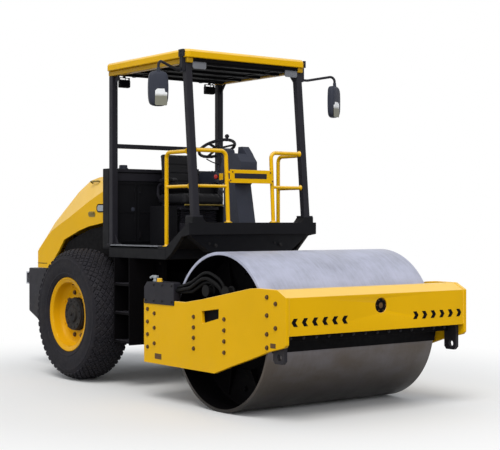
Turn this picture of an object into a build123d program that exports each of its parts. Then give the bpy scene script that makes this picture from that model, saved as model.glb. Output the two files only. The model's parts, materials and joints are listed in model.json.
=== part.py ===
from build123d import *
import math
import os

# Single-drum vibratory road roller with an open operator's platform under a roll-over roof.
# Millimetres. +X forward, +Y to the machine's left, +Z up. Every size below is written from
# the rear axle on the ground's surface, and the finished pieces are shifted along X so that
# the origin is the middle of the machine's overall box at ground level.

os.makedirs("parts", exist_ok=True)

# ---------------------------------------------------------------- overall
FRONT_END = 3294
REAR_END = -1506
MID_X = (FRONT_END + REAR_END) / 2

# ---------------------------------------------------------------- drum and its frame
DRUM_X = 2400
DRUM_R = 610
DRUM_Z = DRUM_R
DRUM_HALF = 840
DRUM_WALL = 25
HEAD_IN = 560
HEAD_OUT = 590
JOURNAL_R = 70
RUN_FIT = 0.05
PLATE_IN = 883
PLATE_OUT = 913
PLATE_REAR = 1440
BEAM_REAR = 3100
BEAM_BOTTOM = 643
BEAM_FACE = FRONT_END - 6
REAR_BEAM_FRONT = 1640

# ---------------------------------------------------------------- centre joint
PIVOT_X = 1200
PIN_R = 45
SHAFT_R = 80
STEER_EYE = (1175, 232)
BARREL_PIN = (480, 270)
CYLINDER_Z = 560
HEAD_FRONT = 975

# ---------------------------------------------------------------- rear wheels
TYRE_R = 601
TYRE_HALF = 190
WHEEL_Y = 670
RIM_R = 305
FLANGE_R = 336
AXLE_Z = TYRE_R
SPINDLE_R = 70
HUB_R = 149
HUB_FACE = 105
SPINDLE_END = WHEEL_Y + 65

# ---------------------------------------------------------------- chassis, hood and platform
SIDE_IN = 400
SIDE_OUT = 440
HOOD_HALF = 470
HOOD_WALL = 20
HOOD_FRONT = 220
FLOOR_TOP = 1240
FLOOR_HALF = 674
FRAME_BOTTOM = 1133
HINGE_X = 200
HINGE_Z = 1855
HINGE_R = 10
TANK_TOP = 1930
TANK_REAR = 270
TANK_FRONT = 378
TANK_HALF = 615
BEAM_TOP = 1442
CENTRE_Y = 40
SEAT_REAR = 490
CONSOLE_RIGHT = -60
CONSOLE_LEFT = 115
WHEEL_CENTRE = (1138, 2097)
COLUMN_TILT = 25
POST_Y = 585
POST = 60
ROOF_BOTTOM = 2800
ROOF_TOP = 2871


def block(x0, x1, y0, y1, z0, z1):
    """A plain box between two corners."""
    size = Box(abs(x1 - x0), abs(y1 - y0), abs(z1 - z0))
    return Pos((x0 + x1) / 2, (y0 + y1) / 2, (z0 + z1) / 2) * size


def side_cut(points, y0, y1):
    """A flat outline drawn in side view (X, Z), as thick as from y0 to y1."""
    face = Plane.XZ * Polygon(*points, align=None)
    return Pos(0, max(y0, y1), 0) * extrude(face, amount=abs(y1 - y0), dir=(0, -1, 0))


def plan_cut(points, z0, z1):
    """A flat outline drawn from above (X, Y), as thick as from z0 to z1."""
    return Pos(0, 0, z0) * extrude(Polygon(*points, align=None), amount=z1 - z0, dir=(0, 0, 1))


def rod_x(r, x0, x1, y, z):
    return Pos((x0 + x1) / 2, y, z) * Rot(0, 90, 0) * Cylinder(r, abs(x1 - x0))


def rod_y(r, y0, y1, x, z):
    return Pos(x, (y0 + y1) / 2, z) * Rot(90, 0, 0) * Cylinder(r, abs(y1 - y0))


def rod_z(r, z0, z1, x, y):
    return Pos(x, y, (z0 + z1) / 2) * Cylinder(r, z1 - z0)


def turned_y(points, x, z):
    """A round piece about an axle along Y, from its half outline (radius, Y)."""
    face = Plane.XY * Polygon(*points, align=None)
    return Pos(x, 0, z) * revolve(face, axis=Axis.Y)


def pipe(points, r, bend):
    """A round tube through the corner points, with every corner bent to a radius."""
    pts = [Vector(*p) for p in points]
    edges = []
    start = pts[0]
    for before, corner, after in zip(pts, pts[1:], pts[2:]):
        u = (before - corner).normalized()
        w = (after - corner).normalized()
        half = math.radians(u.get_angle(w)) / 2
        back = bend / math.tan(half)
        a = corner + u * back
        b = corner + w * back
        middle = (u + w).normalized()
        crown = corner + middle * (bend / math.sin(half) - bend)
        edges.append(Line(start, a))
        edges.append(ThreePointArc(a, crown, b))
        start = b
    edges.append(Line(start, pts[-1]))
    path = Wire(edges)
    first = Plane(origin=pts[0], z_dir=(pts[1] - pts[0]).normalized())
    return sweep(first * Circle(r), path=path)


def mirrored(piece):
    """The piece and its twin on the machine's other side."""
    return [piece, mirror(piece, about=Plane.XZ)]


def keep(node, pieces):
    """Writes one node's solids, moved to the machine's own origin."""
    solids = pieces if isinstance(pieces, list) else [pieces]
    moved = [Pos(-MID_X, 0, 0) * s for s in solids]
    out = moved[0] if len(moved) == 1 else Compound(children=moved)
    export_step(out, f"parts/{node}.step")


# ================================================================ front frame
# Two thick side plates carry the drum between them. The outline is flat at the rear, and
# its underside rises towards the front so that the drum's edge can be seen.
side_outline = [
    (PLATE_REAR, 303), (2432, 303), (2640, 373), (2874, 446), (3099, 521), (3273, 563),
    (FRONT_END, 583), (FRONT_END, 917), (3196, 968), (2969, 970), (2878, 964), (2275, 857),
    (2033, 821), (PLATE_REAR, 821),
]
slot_outline = [(2273, 670), (2485, 721), (2486, 792), (2261, 763)]
plate = side_cut(side_outline, PLATE_IN, PLATE_OUT) - side_cut(slot_outline, 800, 1000)
keep("left_side_plate", plate)
keep("right_side_plate", mirror(plate, about=Plane.XZ))

# The front beam is welded in between them, its face set back a few millimetres.
front_beam_outline = [
    (BEAM_REAR, BEAM_BOTTOM), (BEAM_FACE, BEAM_BOTTOM), (BEAM_FACE, 914), (3192, 964),
    (BEAM_REAR, 964),
]
front_beam = side_cut(front_beam_outline, -PLATE_IN, PLATE_IN)
front_beam -= rod_x(58, BEAM_FACE - 12, BEAM_FACE + 5, 0, 828)
keep("front_beam", front_beam + rod_x(55, BEAM_FACE - 30, BEAM_FACE - 6, 0, 828))

rear_beam = block(PLATE_REAR, REAR_BEAM_FRONT, -PLATE_IN, PLATE_IN, 430, 800)
rear_beam -= rod_x(SHAFT_R + RUN_FIT, 1400, 1700, 0, DRUM_Z)
keep("rear_beam", rear_beam)

# The drum's bearing housings stand on the side plates' inner faces and reach into the
# drum's recessed ends.
support = rod_y(175, HEAD_OUT + 25, PLATE_IN, DRUM_X, DRUM_Z)
support += rod_y(270, 850, PLATE_IN, DRUM_X, DRUM_Z)
support -= rod_y(JOURNAL_R + RUN_FIT, 500, 870, DRUM_X, DRUM_Z)
keep("drum_supports", mirrored(support))

# Scrapers: a bar and a blade a few millimetres off the drum, in front and behind.
front_scraper = block(3040, 3180, -820, 820, 590, BEAM_BOTTOM)
front_scraper += side_cut([(3018, 500), (3034, 500), (3056, 600), (3040, 600)], -820, 820)
keep("front_scraper", front_scraper)
rear_scraper = block(REAR_BEAM_FRONT, 1770, -820, 820, 440, 480)
rear_scraper += side_cut([(1770, 440), (1800, 440), (1794, 500), (1770, 500)], -820, 820)
keep("rear_scraper", rear_scraper)

# Tie-down lugs under the front beam's ends, against the side plates' inner faces.
lug = side_cut([(3110, BEAM_BOTTOM), (3110, 462), (3130, 438), (3212, 438), (3236, 462),
                (3236, BEAM_BOTTOM)], PLATE_IN - 30, PLATE_IN)
lug -= rod_y(24, 700, 900, 3182, 486)
keep("tie_down_lugs", mirrored(lug))

# The hydraulic hoses cross the centre joint under a cover on the right plate's rear top.
cover = side_cut([(1455, 821), (1760, 821), (1760, 962), (1500, 962), (1455, 920)], -PLATE_OUT, -770)
cover += block(1760, 1890, -PLATE_OUT, -852, 821, 962)
cover += side_cut([(1455, 785), (1890, 785), (1890, 962), (1500, 962), (1455, 920)], -921, -PLATE_OUT)
keep("hose_cover", cover)

# ================================================================ drum
shell = rod_y(DRUM_R, -DRUM_HALF, DRUM_HALF, DRUM_X, DRUM_Z)
shell -= rod_y(DRUM_R - DRUM_WALL, -900, 900, DRUM_X, DRUM_Z)
keep("drum_shell", shell)
keep("drum_heads", mirrored(rod_y(DRUM_R - DRUM_WALL, HEAD_IN, HEAD_OUT, DRUM_X, DRUM_Z)))
keep("drum_journals", mirrored(rod_y(JOURNAL_R, HEAD_OUT, 860, DRUM_X, DRUM_Z)))
keep("exciter_housing", rod_y(150, -HEAD_IN, HEAD_IN, DRUM_X, DRUM_Z))

# ================================================================ centre joint
# The yoke turns on the upright steering pin between the rear frame's two ears. Its round
# shaft points forward into the front frame, which rolls about it to follow the ground.
yoke = rod_z(110, 465, 765, PIVOT_X, 0)
yoke += block(PIVOT_X, 1340, -95, 95, 515, 705)
eye_x, eye_y = STEER_EYE
yoke_arm_outline = [(PIVOT_X - 60, -30), (PIVOT_X + 60, -30), (eye_x + 45, 0.9 * eye_y),
                    (eye_x + 45, eye_y + 45),
                    (eye_x - 45, eye_y + 45), (eye_x - 45, 0.9 * eye_y)]
for arm in mirrored(plan_cut(yoke_arm_outline, 470, 505)):
    yoke += arm
yoke -= rod_z(PIN_R + RUN_FIT, 400, 900, PIVOT_X, 0)
keep("centre_yoke", yoke)
shaft = rod_x(SHAFT_R, 1340, 1660, 0, DRUM_Z) + rod_x(115, 1652, 1675, 0, DRUM_Z)
keep("oscillation_shaft", shaft)

# ================================================================ rear frame
head = block(395, 430, -SIDE_IN, SIDE_IN, 480, 1000)
head += block(430, HEAD_FRONT, -165, 165, 400, 1000)
for low, high in ((400, 460), (770, 830)):
    head += block(HEAD_FRONT, PIVOT_X, -120, 120, low, high)
    head += rod_z(120, low, high, PIVOT_X, 0)
for y in (-BARREL_PIN[1], BARREL_PIN[1]):
    head += block(430, BARREL_PIN[0] + 45, y - 45, y + 45, 480, 515)
    head -= rod_z(16 + RUN_FIT, 400, 600, BARREL_PIN[0], y)
head -= rod_z(PIN_R, 300, 900, PIVOT_X, 0)
keep("articulation_head", head)
keep("steering_pin", rod_z(PIN_R, 385, 845, PIVOT_X, 0) + rod_z(62, 830, 848, PIVOT_X, 0))

chassis_outline = [
    (-1000, 560), (-230, 560), (-180, 700), (180, 700), (230, 480), (1000, 480),
    (1000, FRAME_BOTTOM), (235, FRAME_BOTTOM), (235, 1425), (70, 1420), (-250, 1380),
    (-433, 1335), (-700, 1250), (-800, 1140), (-950, 990), (-1000, 975),
]
chassis = side_cut(chassis_outline, SIDE_IN, SIDE_OUT)
chassis += mirror(chassis, about=Plane.XZ)
for x0, x1, z0, z1 in ((-1000, -960, 560, 940), (-800, -740, 770, 830), (40, 100, 790, 830),
                       (200, 235, 800, 1133)):
    chassis += block(x0, x1, -SIDE_IN, SIDE_IN, z0, z1)
keep("chassis", chassis)
keep("engine_block", block(-850, 100, -300, 300, 830, 1310))

# Cast counterweight across the tail, with its lower rear corner cut away. A bent flat bar on
# each rear corner is a loop for a lashing hook.
BALLAST_REAR = -1450
BALLAST_TOP = 978
ballast_outline = [(-1000, 459), (-1252, 459), (BALLAST_REAR, 539), (BALLAST_REAR, BALLAST_TOP),
                   (-1000, BALLAST_TOP)]
keep("rear_ballast", side_cut(ballast_outline, -480, 480))
loop = block(REAR_END, BALLAST_REAR, 450, 480, 812, 938)
loop -= block(REAR_END + 12, BALLAST_REAR, 440, 490, 824, 926)
keep("tail_loops", mirrored(loop))
tow_lug = plan_cut([(-1450, -60), (-1450, 60), (-1480, 60), (-1506, 30), (-1506, -30), (-1480, -60)],
                   880, 910) - rod_z(20, 800, 1000, -1478, 0)
keep("tow_lug", tow_lug)

# Rear axle: a tube with a bulged middle, a saddle under each chassis side and a spindle
# that each wheel hub turns on.
axle = rod_y(80, -470, 470, 0, AXLE_Z) + rod_y(185, -130, 130, 0, AXLE_Z)
axle += rod_y(150, 445, 470, 0, AXLE_Z) + rod_y(150, -470, -445, 0, AXLE_Z)
axle += block(-110, 110, 395, 444, 630, 700) + block(-110, 110, -444, -395, 630, 700)
for spindle in mirrored(rod_y(SPINDLE_R, 470, SPINDLE_END, 0, AXLE_Z)):
    axle += spindle
keep("rear_axle", axle)

# ================================================================ wheels
# Half outlines as (radius, distance from the wheel's middle, outwards positive).
tyre_outline = [
    (RIM_R + 0.3, -149), (FLANGE_R + 2, -149), (345, -168), (430, -TYRE_HALF), (510, -182),
    (560, -165), (588, -120), (TYRE_R, -60), (TYRE_R, 60), (588, 120), (560, 165), (510, 182),
    (430, TYRE_HALF), (345, 168), (FLANGE_R + 2, 149), (RIM_R + 0.3, 149),
]
rim_outline = [
    (RIM_R, -150), (FLANGE_R, -150), (FLANGE_R, -158), (RIM_R - 12, -160), (RIM_R - 14, -60),
    (250, -20), (250, 30), (150, 30), (150, 44), (262, 44), (RIM_R - 14, 60),
    (RIM_R - 12, 160), (FLANGE_R, 158), (FLANGE_R, 150), (RIM_R, 150),
]
for side, sign in (("left", 1), ("right", -1)):
    tyre = turned_y([(r, sign * (WHEEL_Y + y)) for r, y in tyre_outline], 0, AXLE_Z)
    keep(f"{side}_tyre", tyre)
    rim = turned_y([(r, sign * (WHEEL_Y + y)) for r, y in rim_outline], 0, AXLE_Z)
    keep(f"{side}_rim", rim)
    hub = rod_y(205, sign * (WHEEL_Y + 5), sign * (WHEEL_Y + 30), 0, AXLE_Z)
    hub += rod_y(HUB_R, sign * (WHEEL_Y - 160), sign * (WHEEL_Y + HUB_FACE), 0, AXLE_Z)
    hub += rod_y(80, sign * (WHEEL_Y + HUB_FACE), sign * (WHEEL_Y + HUB_FACE + 14), 0, AXLE_Z)
    hub -= rod_y(SPINDLE_R + RUN_FIT, sign * 480, sign * (SPINDLE_END + 10), 0, AXLE_Z)
    keep(f"{side}_hub", hub)

# ================================================================ steering cylinders
for side, sign in (("left", 1), ("right", -1)):
    bx, by = BARREL_PIN[0], sign * BARREL_PIN[1]
    ex, ey = STEER_EYE[0], sign * STEER_EYE[1]
    reach = math.hypot(ex - bx, ey - by)
    turn = math.degrees(math.atan2(ey - by, ex - bx))
    place = Pos(bx, by, CYLINDER_Z) * Rot(0, 0, turn)
    barrel = rod_x(37, 30, 455, 0, 0) + rod_z(34, -25, 25, 0, 0)
    barrel -= rod_x(18 + RUN_FIT, 60, 500, 0, 0)
    barrel += rod_z(16, -80, 30, 0, 0)
    keep(f"{side}_steering_barrel", place * barrel)
    rod = rod_x(18, 230, reach - 25, 0, 0) + rod_z(34, -25, 25, reach, 0) + rod_z(18, -48, 34, reach, 0)
    keep(f"{side}_steering_rod", place * rod)

# ================================================================ hood
# One shell over the engine, open below and in front, hinged at its front top edge. The side
# is upright to the shoulder line, leans inwards to the roof's edge, then crowns gently.
# Sections from tail to front.
hood_sections = [
    # (X, shoulder height, roof edge height, roof edge half width)
    (-1268, 1150, 1178, 455), (-1123, 1262, 1283, 458), (-972, 1358, 1438, 434),
    (-794, 1427, 1588, 398), (-620, 1489, 1741, 357), (-405, 1575, 1844, 349),
    (-218, 1647, 1869, 370), (66, 1744, 1880, 409), (HOOD_FRONT, 1795, 1883, 430),
]
HOOD_LOW = 900
CROWN = 22


def hood_body(shrink, first_x, last_x):
    faces = []
    for x, shoulder, roof, roof_half in hood_sections:
        at = first_x if x == hood_sections[0][0] else last_x if x == HOOD_FRONT else x
        wide = HOOD_HALF - shrink
        half = roof_half - shrink
        edge = roof - shrink
        outline = [(-wide, HOOD_LOW), (wide, HOOD_LOW), (wide, shoulder - shrink / 2),
                   (half, edge), (half - 120, edge + CROWN), (120 - half, edge + CROWN),
                   (-half, edge), (-wide, shoulder - shrink / 2)]
        faces.append(Plane.YZ.offset(at) * Polygon(*outline, align=None))
    return loft(faces, ruled=True)


hood = hood_body(0, -1268, HOOD_FRONT) - hood_body(HOOD_WALL, -1268 + HOOD_WALL, HOOD_FRONT + 30)
arch_outline = [(300, 800), (300, 1470), (70, 1444), (-250, 1403), (-433, 1361), (-718, 1273),
                (-816, 1174), (-1000, 1010), (-1060, 986), (-1400, 986), (-1400, 800)]
hood -= side_cut(arch_outline, -600, 600)

# Two hinges carry the hood on the tank. Each lug hangs from the hood's roof beside a fixed
# bracket, and turns on the bracket's pin.
lug = block(HINGE_X - 18, HINGE_X + 18, 226, 246, HINGE_Z, 1888) + rod_y(18, 226, 246, HINGE_X, HINGE_Z)
lug -= rod_y(HINGE_R + RUN_FIT, 200, 260, HINGE_X, HINGE_Z)
for piece in mirrored(lug):
    hood += piece
keep("hood_shell", hood)
arm_outline = [(HINGE_X - 10, HINGE_Z - 8), (HINGE_X + 12, HINGE_Z - 4), (TANK_REAR, HINGE_Z - 30),
               (TANK_REAR, HINGE_Z - 75)]
bracket = side_cut(arm_outline, 206, 221) + rod_y(14, 206, 221, HINGE_X, HINGE_Z)
keep("hood_hinges", mirrored(bracket + rod_y(HINGE_R, 221, 250, HINGE_X, HINGE_Z)))

# ================================================================ tank and platform
rear_tank = block(TANK_REAR, TANK_FRONT, -TANK_HALF, TANK_HALF, 1200, TANK_TOP)
rear_tank += block(TANK_REAR, TANK_FRONT, -SIDE_OUT, SIDE_OUT, FRAME_BOTTOM, 1200)
keep("rear_tank", rear_tank)
FLOOR_LOW = FLOOR_TOP - 24
keep("platform_floor", block(TANK_FRONT + 2, 1400, -FLOOR_HALF, FLOOR_HALF, FLOOR_LOW, FLOOR_TOP))
side_rail = block(480, 1400, 634, FLOOR_HALF, FRAME_BOTTOM, FLOOR_LOW)
platform_frame = side_rail + mirror(side_rail, about=Plane.XZ)
for x in (480, 940, 1340):
    platform_frame += block(x, x + 60, -634, 634, FRAME_BOTTOM, FLOOR_LOW)
keep("platform_frame", platform_frame)

# The platform's front: skirts that climb from the floor's level to the beam which carries
# the front posts, a sloping toe board, and a lower panel with the rubber mounts.
skirt = side_cut([(1400, FLOOR_TOP), (1727, BEAM_TOP), (1746, BEAM_TOP), (1746, 1341),
                  (1640, 1325), (1480, 1180), (1400, FRAME_BOTTOM)], 640, FLOOR_HALF)
front = block(1640, 1746, -640, 640, 1341, BEAM_TOP)
for y in (-1, 1):
    raised = [(y * 500, BEAM_TOP), (y * 540, 1490), (y * 640, 1490), (y * 640, BEAM_TOP)]
    front += extrude(Plane.YZ.offset(1640) * Polygon(*raised, align=None), amount=106, dir=(1, 0, 0))
front += skirt + mirror(skirt, about=Plane.XZ)
front += side_cut([(1400, FLOOR_TOP), (1400, FLOOR_LOW), (1414, FLOOR_LOW), (1660, 1345), (1640, 1365)],
                  -640, 640)
lower = Plane.YZ.offset(1600) * Polygon((-630, 1341), (630, 1341), (430, 1195), (-430, 1195), align=None)
front += extrude(lower, amount=90, dir=(1, 0, 0))
keep("platform_front", front)

# Steps between the rear wheel and the front frame's turning circle, on both sides.
steps = block(640, 652, SIDE_OUT, 720, 380, FRAME_BOTTOM) + block(888, 900, SIDE_OUT, 720, 380, FRAME_BOTTOM)
for z in (392, 640, 890):
    steps += block(652, 888, 540, 720, z, z + 20)
keep("steps", mirrored(steps))

# ================================================================ operator's place
keep("seat_base", block(SEAT_REAR, SEAT_REAR + 380, CENTRE_Y - 210, CENTRE_Y + 210, FLOOR_TOP, 1600))
cushion = block(SEAT_REAR, SEAT_REAR + 480, CENTRE_Y - 235, CENTRE_Y + 235, 1600, 1700)
keep("seat_cushion", fillet(cushion.edges(), 30))
back_outline = [(SEAT_REAR, 1702), (SEAT_REAR + 100, 1702), (SEAT_REAR + 50, 2085), (SEAT_REAR - 30, 2085)]
back = side_cut(back_outline, CENTRE_Y - 188, CENTRE_Y + 188)
keep("seat_back", fillet(back.edges(), 25))
# The console's column stands where the floor meets the sloping toe board. Its head overhangs
# in front, with the gauge panel's hood on the left and the steering column's on the right.
toe_slope = (1365 - FLOOR_TOP) / 240
console_outline = [(1375, FLOOR_TOP), (1400, FLOOR_TOP), (1605, FLOOR_TOP + 205 * toe_slope), (1600, 1440),
                   (1535, 1765), (1622, 1835), (1622, 1960), (1560, 2030), (1370, 2045), (1330, 1920),
                   (1330, 1860), (1375, 1800)]
console = side_cut(console_outline, CONSOLE_RIGHT, CONSOLE_LEFT)
gauge_hood = [(1440, 2000), (1590, 1995), (1560, 2036), (1505, 2095), (1450, 2095)]
console += side_cut(gauge_hood, 42, CONSOLE_LEFT)
column_hood = [(1348, 1980), (1450, 2000), (1430, 2068), (1370, 2085)]
console += side_cut(column_hood, CONSOLE_RIGHT, 15)
keep("console", console)
wheel_x, wheel_z = WHEEL_CENTRE
tilt = Pos(wheel_x, CENTRE_Y, wheel_z) * Rot(0, -COLUMN_TILT, 0)
wheel = Torus(162, 14) + Cylinder(38, 28)
for angle in (60, 180, 300):
    wheel += Rot(0, 0, angle) * Pos(95, 0, 0) * Box(134, 26, 12)
wheel += Pos(0, 0, -60) * Cylinder(20, 120)
keep("steering_wheel", tilt * wheel)
column = tilt * rod_z(32, -640, -120, 0, 0)
keep("steering_column", column - block(1375, 1700, -100, 200, 1240, 2200))

# ================================================================ roll-over frame and roof
front_post = side_cut([(1671, 1490), (1731, 1490), (1615, 2757), (1555, 2757)],
                      POST_Y - POST / 2, POST_Y + POST / 2)
keep("front_posts", mirrored(front_post))
rear_post = block(380, 380 + POST, POST_Y - POST / 2, POST_Y + POST / 2, FLOOR_TOP, 2757)
keep("rear_posts", mirrored(rear_post))
keep("rear_crossbar", block(390, 430, POST / 2 - POST_Y, POST_Y - POST / 2, 2110, 2150))
member = block(372, 1635, POST_Y - POST / 2, POST_Y + POST / 2, 2757, ROOF_BOTTOM)
keep("roof_side_members", mirrored(member))
keep("roof_liner", block(372, 1635, POST / 2 - POST_Y, POST_Y - POST / 2, 2770, ROOF_BOTTOM))
roof = block(358, 1651, -642, 642, ROOF_BOTTOM, ROOF_TOP)
roof = chamfer(roof.edges().filter_by(Axis.Z), 40)
keep("roof_panel", chamfer(roof.faces().sort_by(Axis.Z)[-1].edges(), 18))
lamp = block(380, 440, 425, 520, 2660, 2735) + block(400, 420, 460, 485, 2735, 2770)
keep("work_lamps", mirrored(lamp))

# Handrails: the posts are the rails' corners. Each side has a front loop beside the gap in
# the middle and a side loop that ends at the entrance.
inner = POST_Y - POST / 2
front_loop = pipe([(1688, 240, BEAM_TOP + 1), (1655, 240, 2041), (1655, inner, 2041)], 17, 50)
front_loop += rod_y(13, 240, inner, 1672, 1745)
keep("front_rails", mirrored(front_loop))
side_loop = pipe([(1302, 600, FLOOR_TOP), (1302, 600, 2030), (1618, 600, 2030)], 17, 50)
side_loop += rod_x(13, 1302, 1645, 600, 1742)
keep("side_rails", mirrored(side_loop))
keep("front_board", block(1692, 1698, -226, 226, 1774, 1886))

# ================================================================ mirrors
arm = pipe([(1590, POST_Y + POST / 2, 2700), (1590, 700, 2700), (1691, 933, 2745),
            (1691, 933, 2662)], 11, 40)
keep("mirror_arms", mirrored(arm))
housing = fillet(Box(62, 170, 290).edges(), 22)
keep("mirrors", mirrored(Pos(1691, 933, 2517) * Rot(0, 0, 22) * housing))
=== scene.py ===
# %% [markdown]
# # A road roller with one vibrating drum
# A roller of this class weighs about seven tonnes. A steel drum carries the front, two big
# tyres drive the back, and the two halves turn against each other at a joint in the middle.
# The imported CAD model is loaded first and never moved. Everything made below is laid over
# it, in metres, so each cell can be read as one job in the paint and fitting shop.

# %% Load the frame
import json
import math
import bmesh
import bpy
from mathutils import Matrix, Vector


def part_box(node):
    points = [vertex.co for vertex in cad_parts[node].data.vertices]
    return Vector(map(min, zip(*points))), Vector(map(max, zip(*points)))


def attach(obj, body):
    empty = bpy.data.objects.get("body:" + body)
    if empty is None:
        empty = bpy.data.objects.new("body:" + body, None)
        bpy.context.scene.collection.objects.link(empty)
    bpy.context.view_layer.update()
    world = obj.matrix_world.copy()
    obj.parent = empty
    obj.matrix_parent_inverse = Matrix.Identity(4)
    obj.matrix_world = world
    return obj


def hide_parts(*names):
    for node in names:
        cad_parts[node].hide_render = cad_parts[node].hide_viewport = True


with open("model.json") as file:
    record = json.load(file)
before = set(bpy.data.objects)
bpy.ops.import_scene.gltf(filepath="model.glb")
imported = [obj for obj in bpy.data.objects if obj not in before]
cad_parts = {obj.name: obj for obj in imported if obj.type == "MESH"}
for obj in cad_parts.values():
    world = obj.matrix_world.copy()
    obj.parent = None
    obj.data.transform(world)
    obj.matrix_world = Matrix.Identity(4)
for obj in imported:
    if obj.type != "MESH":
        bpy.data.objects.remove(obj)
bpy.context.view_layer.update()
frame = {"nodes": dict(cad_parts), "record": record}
scene = bpy.context.scene
BODY = {node: body for body, group in frame["record"]["behaviour"]["bodies"].items() for node in group}

# %% [markdown]
# A machine like this is drawn from its rear axle, in millimetres: that is how a fitter would
# read a distance off it. The axle's place in the model is measured from the tyre, and one
# matrix turns the drawing's millimetres into the model's metres.

# %% The drawing's own zero
MM = 1000
tyre_low, tyre_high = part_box("right_tyre")
AXLE_X = (tyre_low.x + tyre_high.x) / 2
AXLE_Z = (tyre_low.z + tyre_high.z) / 2 * MM
TO_MODEL = Matrix.Translation((AXLE_X, 0, 0)) @ Matrix.Scale(0.001, 4)


def limits(node):
    """A CAD node's lowest and highest corner, in the drawing's millimetres."""
    back = TO_MODEL.inverted()
    return [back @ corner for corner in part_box(node)]


print("rear axle at x =", round(AXLE_X, 4), "z =", round(AXLE_Z))

# %% [markdown]
# Metal parts are made from a few shapes: a plate cut to an outline, a turned part, a bent
# tube and a bolt. Each helper adds its shape to one bmesh, so that forty bolts can end up
# as one piece. The first is the plate. An outline is used rather than a stock cube, because
# it gives cut corners for free.

# %% Plates and bars
def facing(point, way=(0, 0, 1)):
    """A place on the machine whose own Z points a given way."""
    return Matrix.Translation(point) @ Vector(way).to_track_quat("Z", "Y").to_matrix().to_4x4()


def plate(b, outline, along, a, c, place=None):
    """A flat outline made solid from a to c along X, Y or Z."""
    order = {"X": (2, 0, 1), "Y": (0, 2, 1), "Z": (0, 1, 2)}[along]
    rings = []
    for w in (a, c):
        corners = [(u, v, w) for u, v in outline]
        rings.append([b.verts.new([p[i] for i in order]) for p in corners])
    b.faces.new(rings[0])
    b.faces.new(rings[1][::-1])
    n = len(outline)
    for i in range(n):
        j = (i + 1) % n
        b.faces.new((rings[0][i], rings[0][j], rings[1][j], rings[1][i]))
    if place:
        bmesh.ops.transform(b, matrix=place, verts=rings[0] + rings[1])


def bar(b, x, y, z, place=None):
    """A bar between two values on each axis."""
    plate(b, [(x[0], y[0]), (x[1], y[0]), (x[1], y[1]), (x[0], y[1])], "Z", z[0], z[1], place)


print("a bar is a plate on a rectangle")

# %% [markdown]
# Round parts come off a lathe. The outline is written as radius and height, and its steps
# and chamfers turn into rings. A second helper gives the places of a bolt circle.

# %% Turned parts
def turned(b, outline, place, steps=48):
    """A lathe: an outline of (radius, height) turned about the place's own Z."""
    rings = []
    for r, h in outline:
        if r == 0:
            rings.append([b.verts.new((0, 0, h))] * steps)
        else:
            turn = [math.tau * i / steps for i in range(steps)]
            rings.append([b.verts.new((r * math.cos(t), r * math.sin(t), h)) for t in turn])
    for first, second in zip(rings, rings[1:] + rings[:1]):
        for i in range(steps):
            j = (i + 1) % steps
            corners = list(dict.fromkeys((first[i], first[j], second[j], second[i])))
            if len(corners) > 2:
                b.faces.new(corners)
    verts = list({v for ring in rings for v in ring})
    bmesh.ops.transform(b, matrix=place, verts=verts)


def circle(count, radius, part=0.0):
    """The points of a bolt circle in its own plane, turned on by part of a step."""
    turns = [math.tau * (k + part) / count for k in range(count)]
    return [(radius * math.cos(t), radius * math.sin(t)) for t in turns]


print("a bolt circle of radius 10 starts at", circle(6, 10)[0])

# %% [markdown]
# Rails and hoses are tubes that a fitter bends at each corner. The route is planned first,
# straight runs with an arc between them, and then a ring of points is carried along it.

# %% Bent tubes
ARC_STEPS = 6


def rounded_route(points, bend):
    """A fitter's bending plan: straight runs with an arc at every corner."""
    points = [Vector(p) for p in points]
    route = [points[0]]
    for before, corner, after in zip(points, points[1:], points[2:]):
        u = (before - corner).normalized()
        w = (after - corner).normalized()
        half = u.angle(w) / 2
        back = min(bend / math.tan(half), 0.48 * min((before - corner).length, (after - corner).length))
        start = corner + u * back
        end = corner + w * back
        for k in range(ARC_STEPS + 1):
            t = k / ARC_STEPS
            route.append(start.lerp(corner, t).lerp(corner.lerp(end, t), t))
    return route + [points[-1]]


def tube(b, points, radius, bend=40, sides=14):
    """A round tube or hose along a bent route."""
    route = rounded_route(points, bend)
    up = Vector((0, 0, 1))
    rings = []
    for i, p in enumerate(route):
        run = (route[min(i + 1, len(route) - 1)] - route[max(i - 1, 0)]).normalized()
        if abs(run.dot(up)) > 0.98:
            up = Vector((0, 1, 0)) if not rings else up
        side = run.cross(up).normalized()
        up = side.cross(run).normalized()
        ring = []
        for k in range(sides):
            t = math.tau * k / sides
            ring.append(b.verts.new(p + side * radius * math.cos(t) + up * radius * math.sin(t)))
        rings.append(ring)
    for first, second in zip(rings, rings[1:]):
        for k in range(sides):
            j = (k + 1) % sides
            b.faces.new((first[k], first[j], second[j], second[k]))
    b.faces.new(rings[0])
    b.faces.new(rings[-1][::-1])


print("one corner of a tube takes", len(rounded_route([(0, 0, 0), (9, 0, 0), (9, 9, 0)], 2)) - 2, "points")

# %% [markdown]
# A bolt's head is known by its size across the flats. The other sizes follow from it, as in
# a bolt table: the washer is wider, the head is less than half as high, and its top is
# chamfered.

# %% Bolts
def bolt(b, point, way, across=30, washer=True):
    """A hexagon head with a chamfered top, on a round washer."""
    place = facing(point, way)
    lift = across * 0.1 if washer else 0
    r = across * 0.577
    if washer:
        turned(b, [(0, 0), (across * 0.72, 0), (across * 0.72, lift), (0, lift)], place, 18)
    top = lift + across * 0.42
    turned(b, [(0, lift), (r, lift), (r, top - across * 0.08), (r * 0.84, top), (0, top)], place, 6)


print("ready to make plates, bars, turned parts, tubes and bolts")

# %% [markdown]
# A real welded part has no perfectly sharp edge: it is ground, then paint pulls back from
# it. So a CAD node with the right shape is copied, its thin triangles are merged into whole
# faces, and a small bevel is put on every edge. The copy stands for the node.

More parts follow.
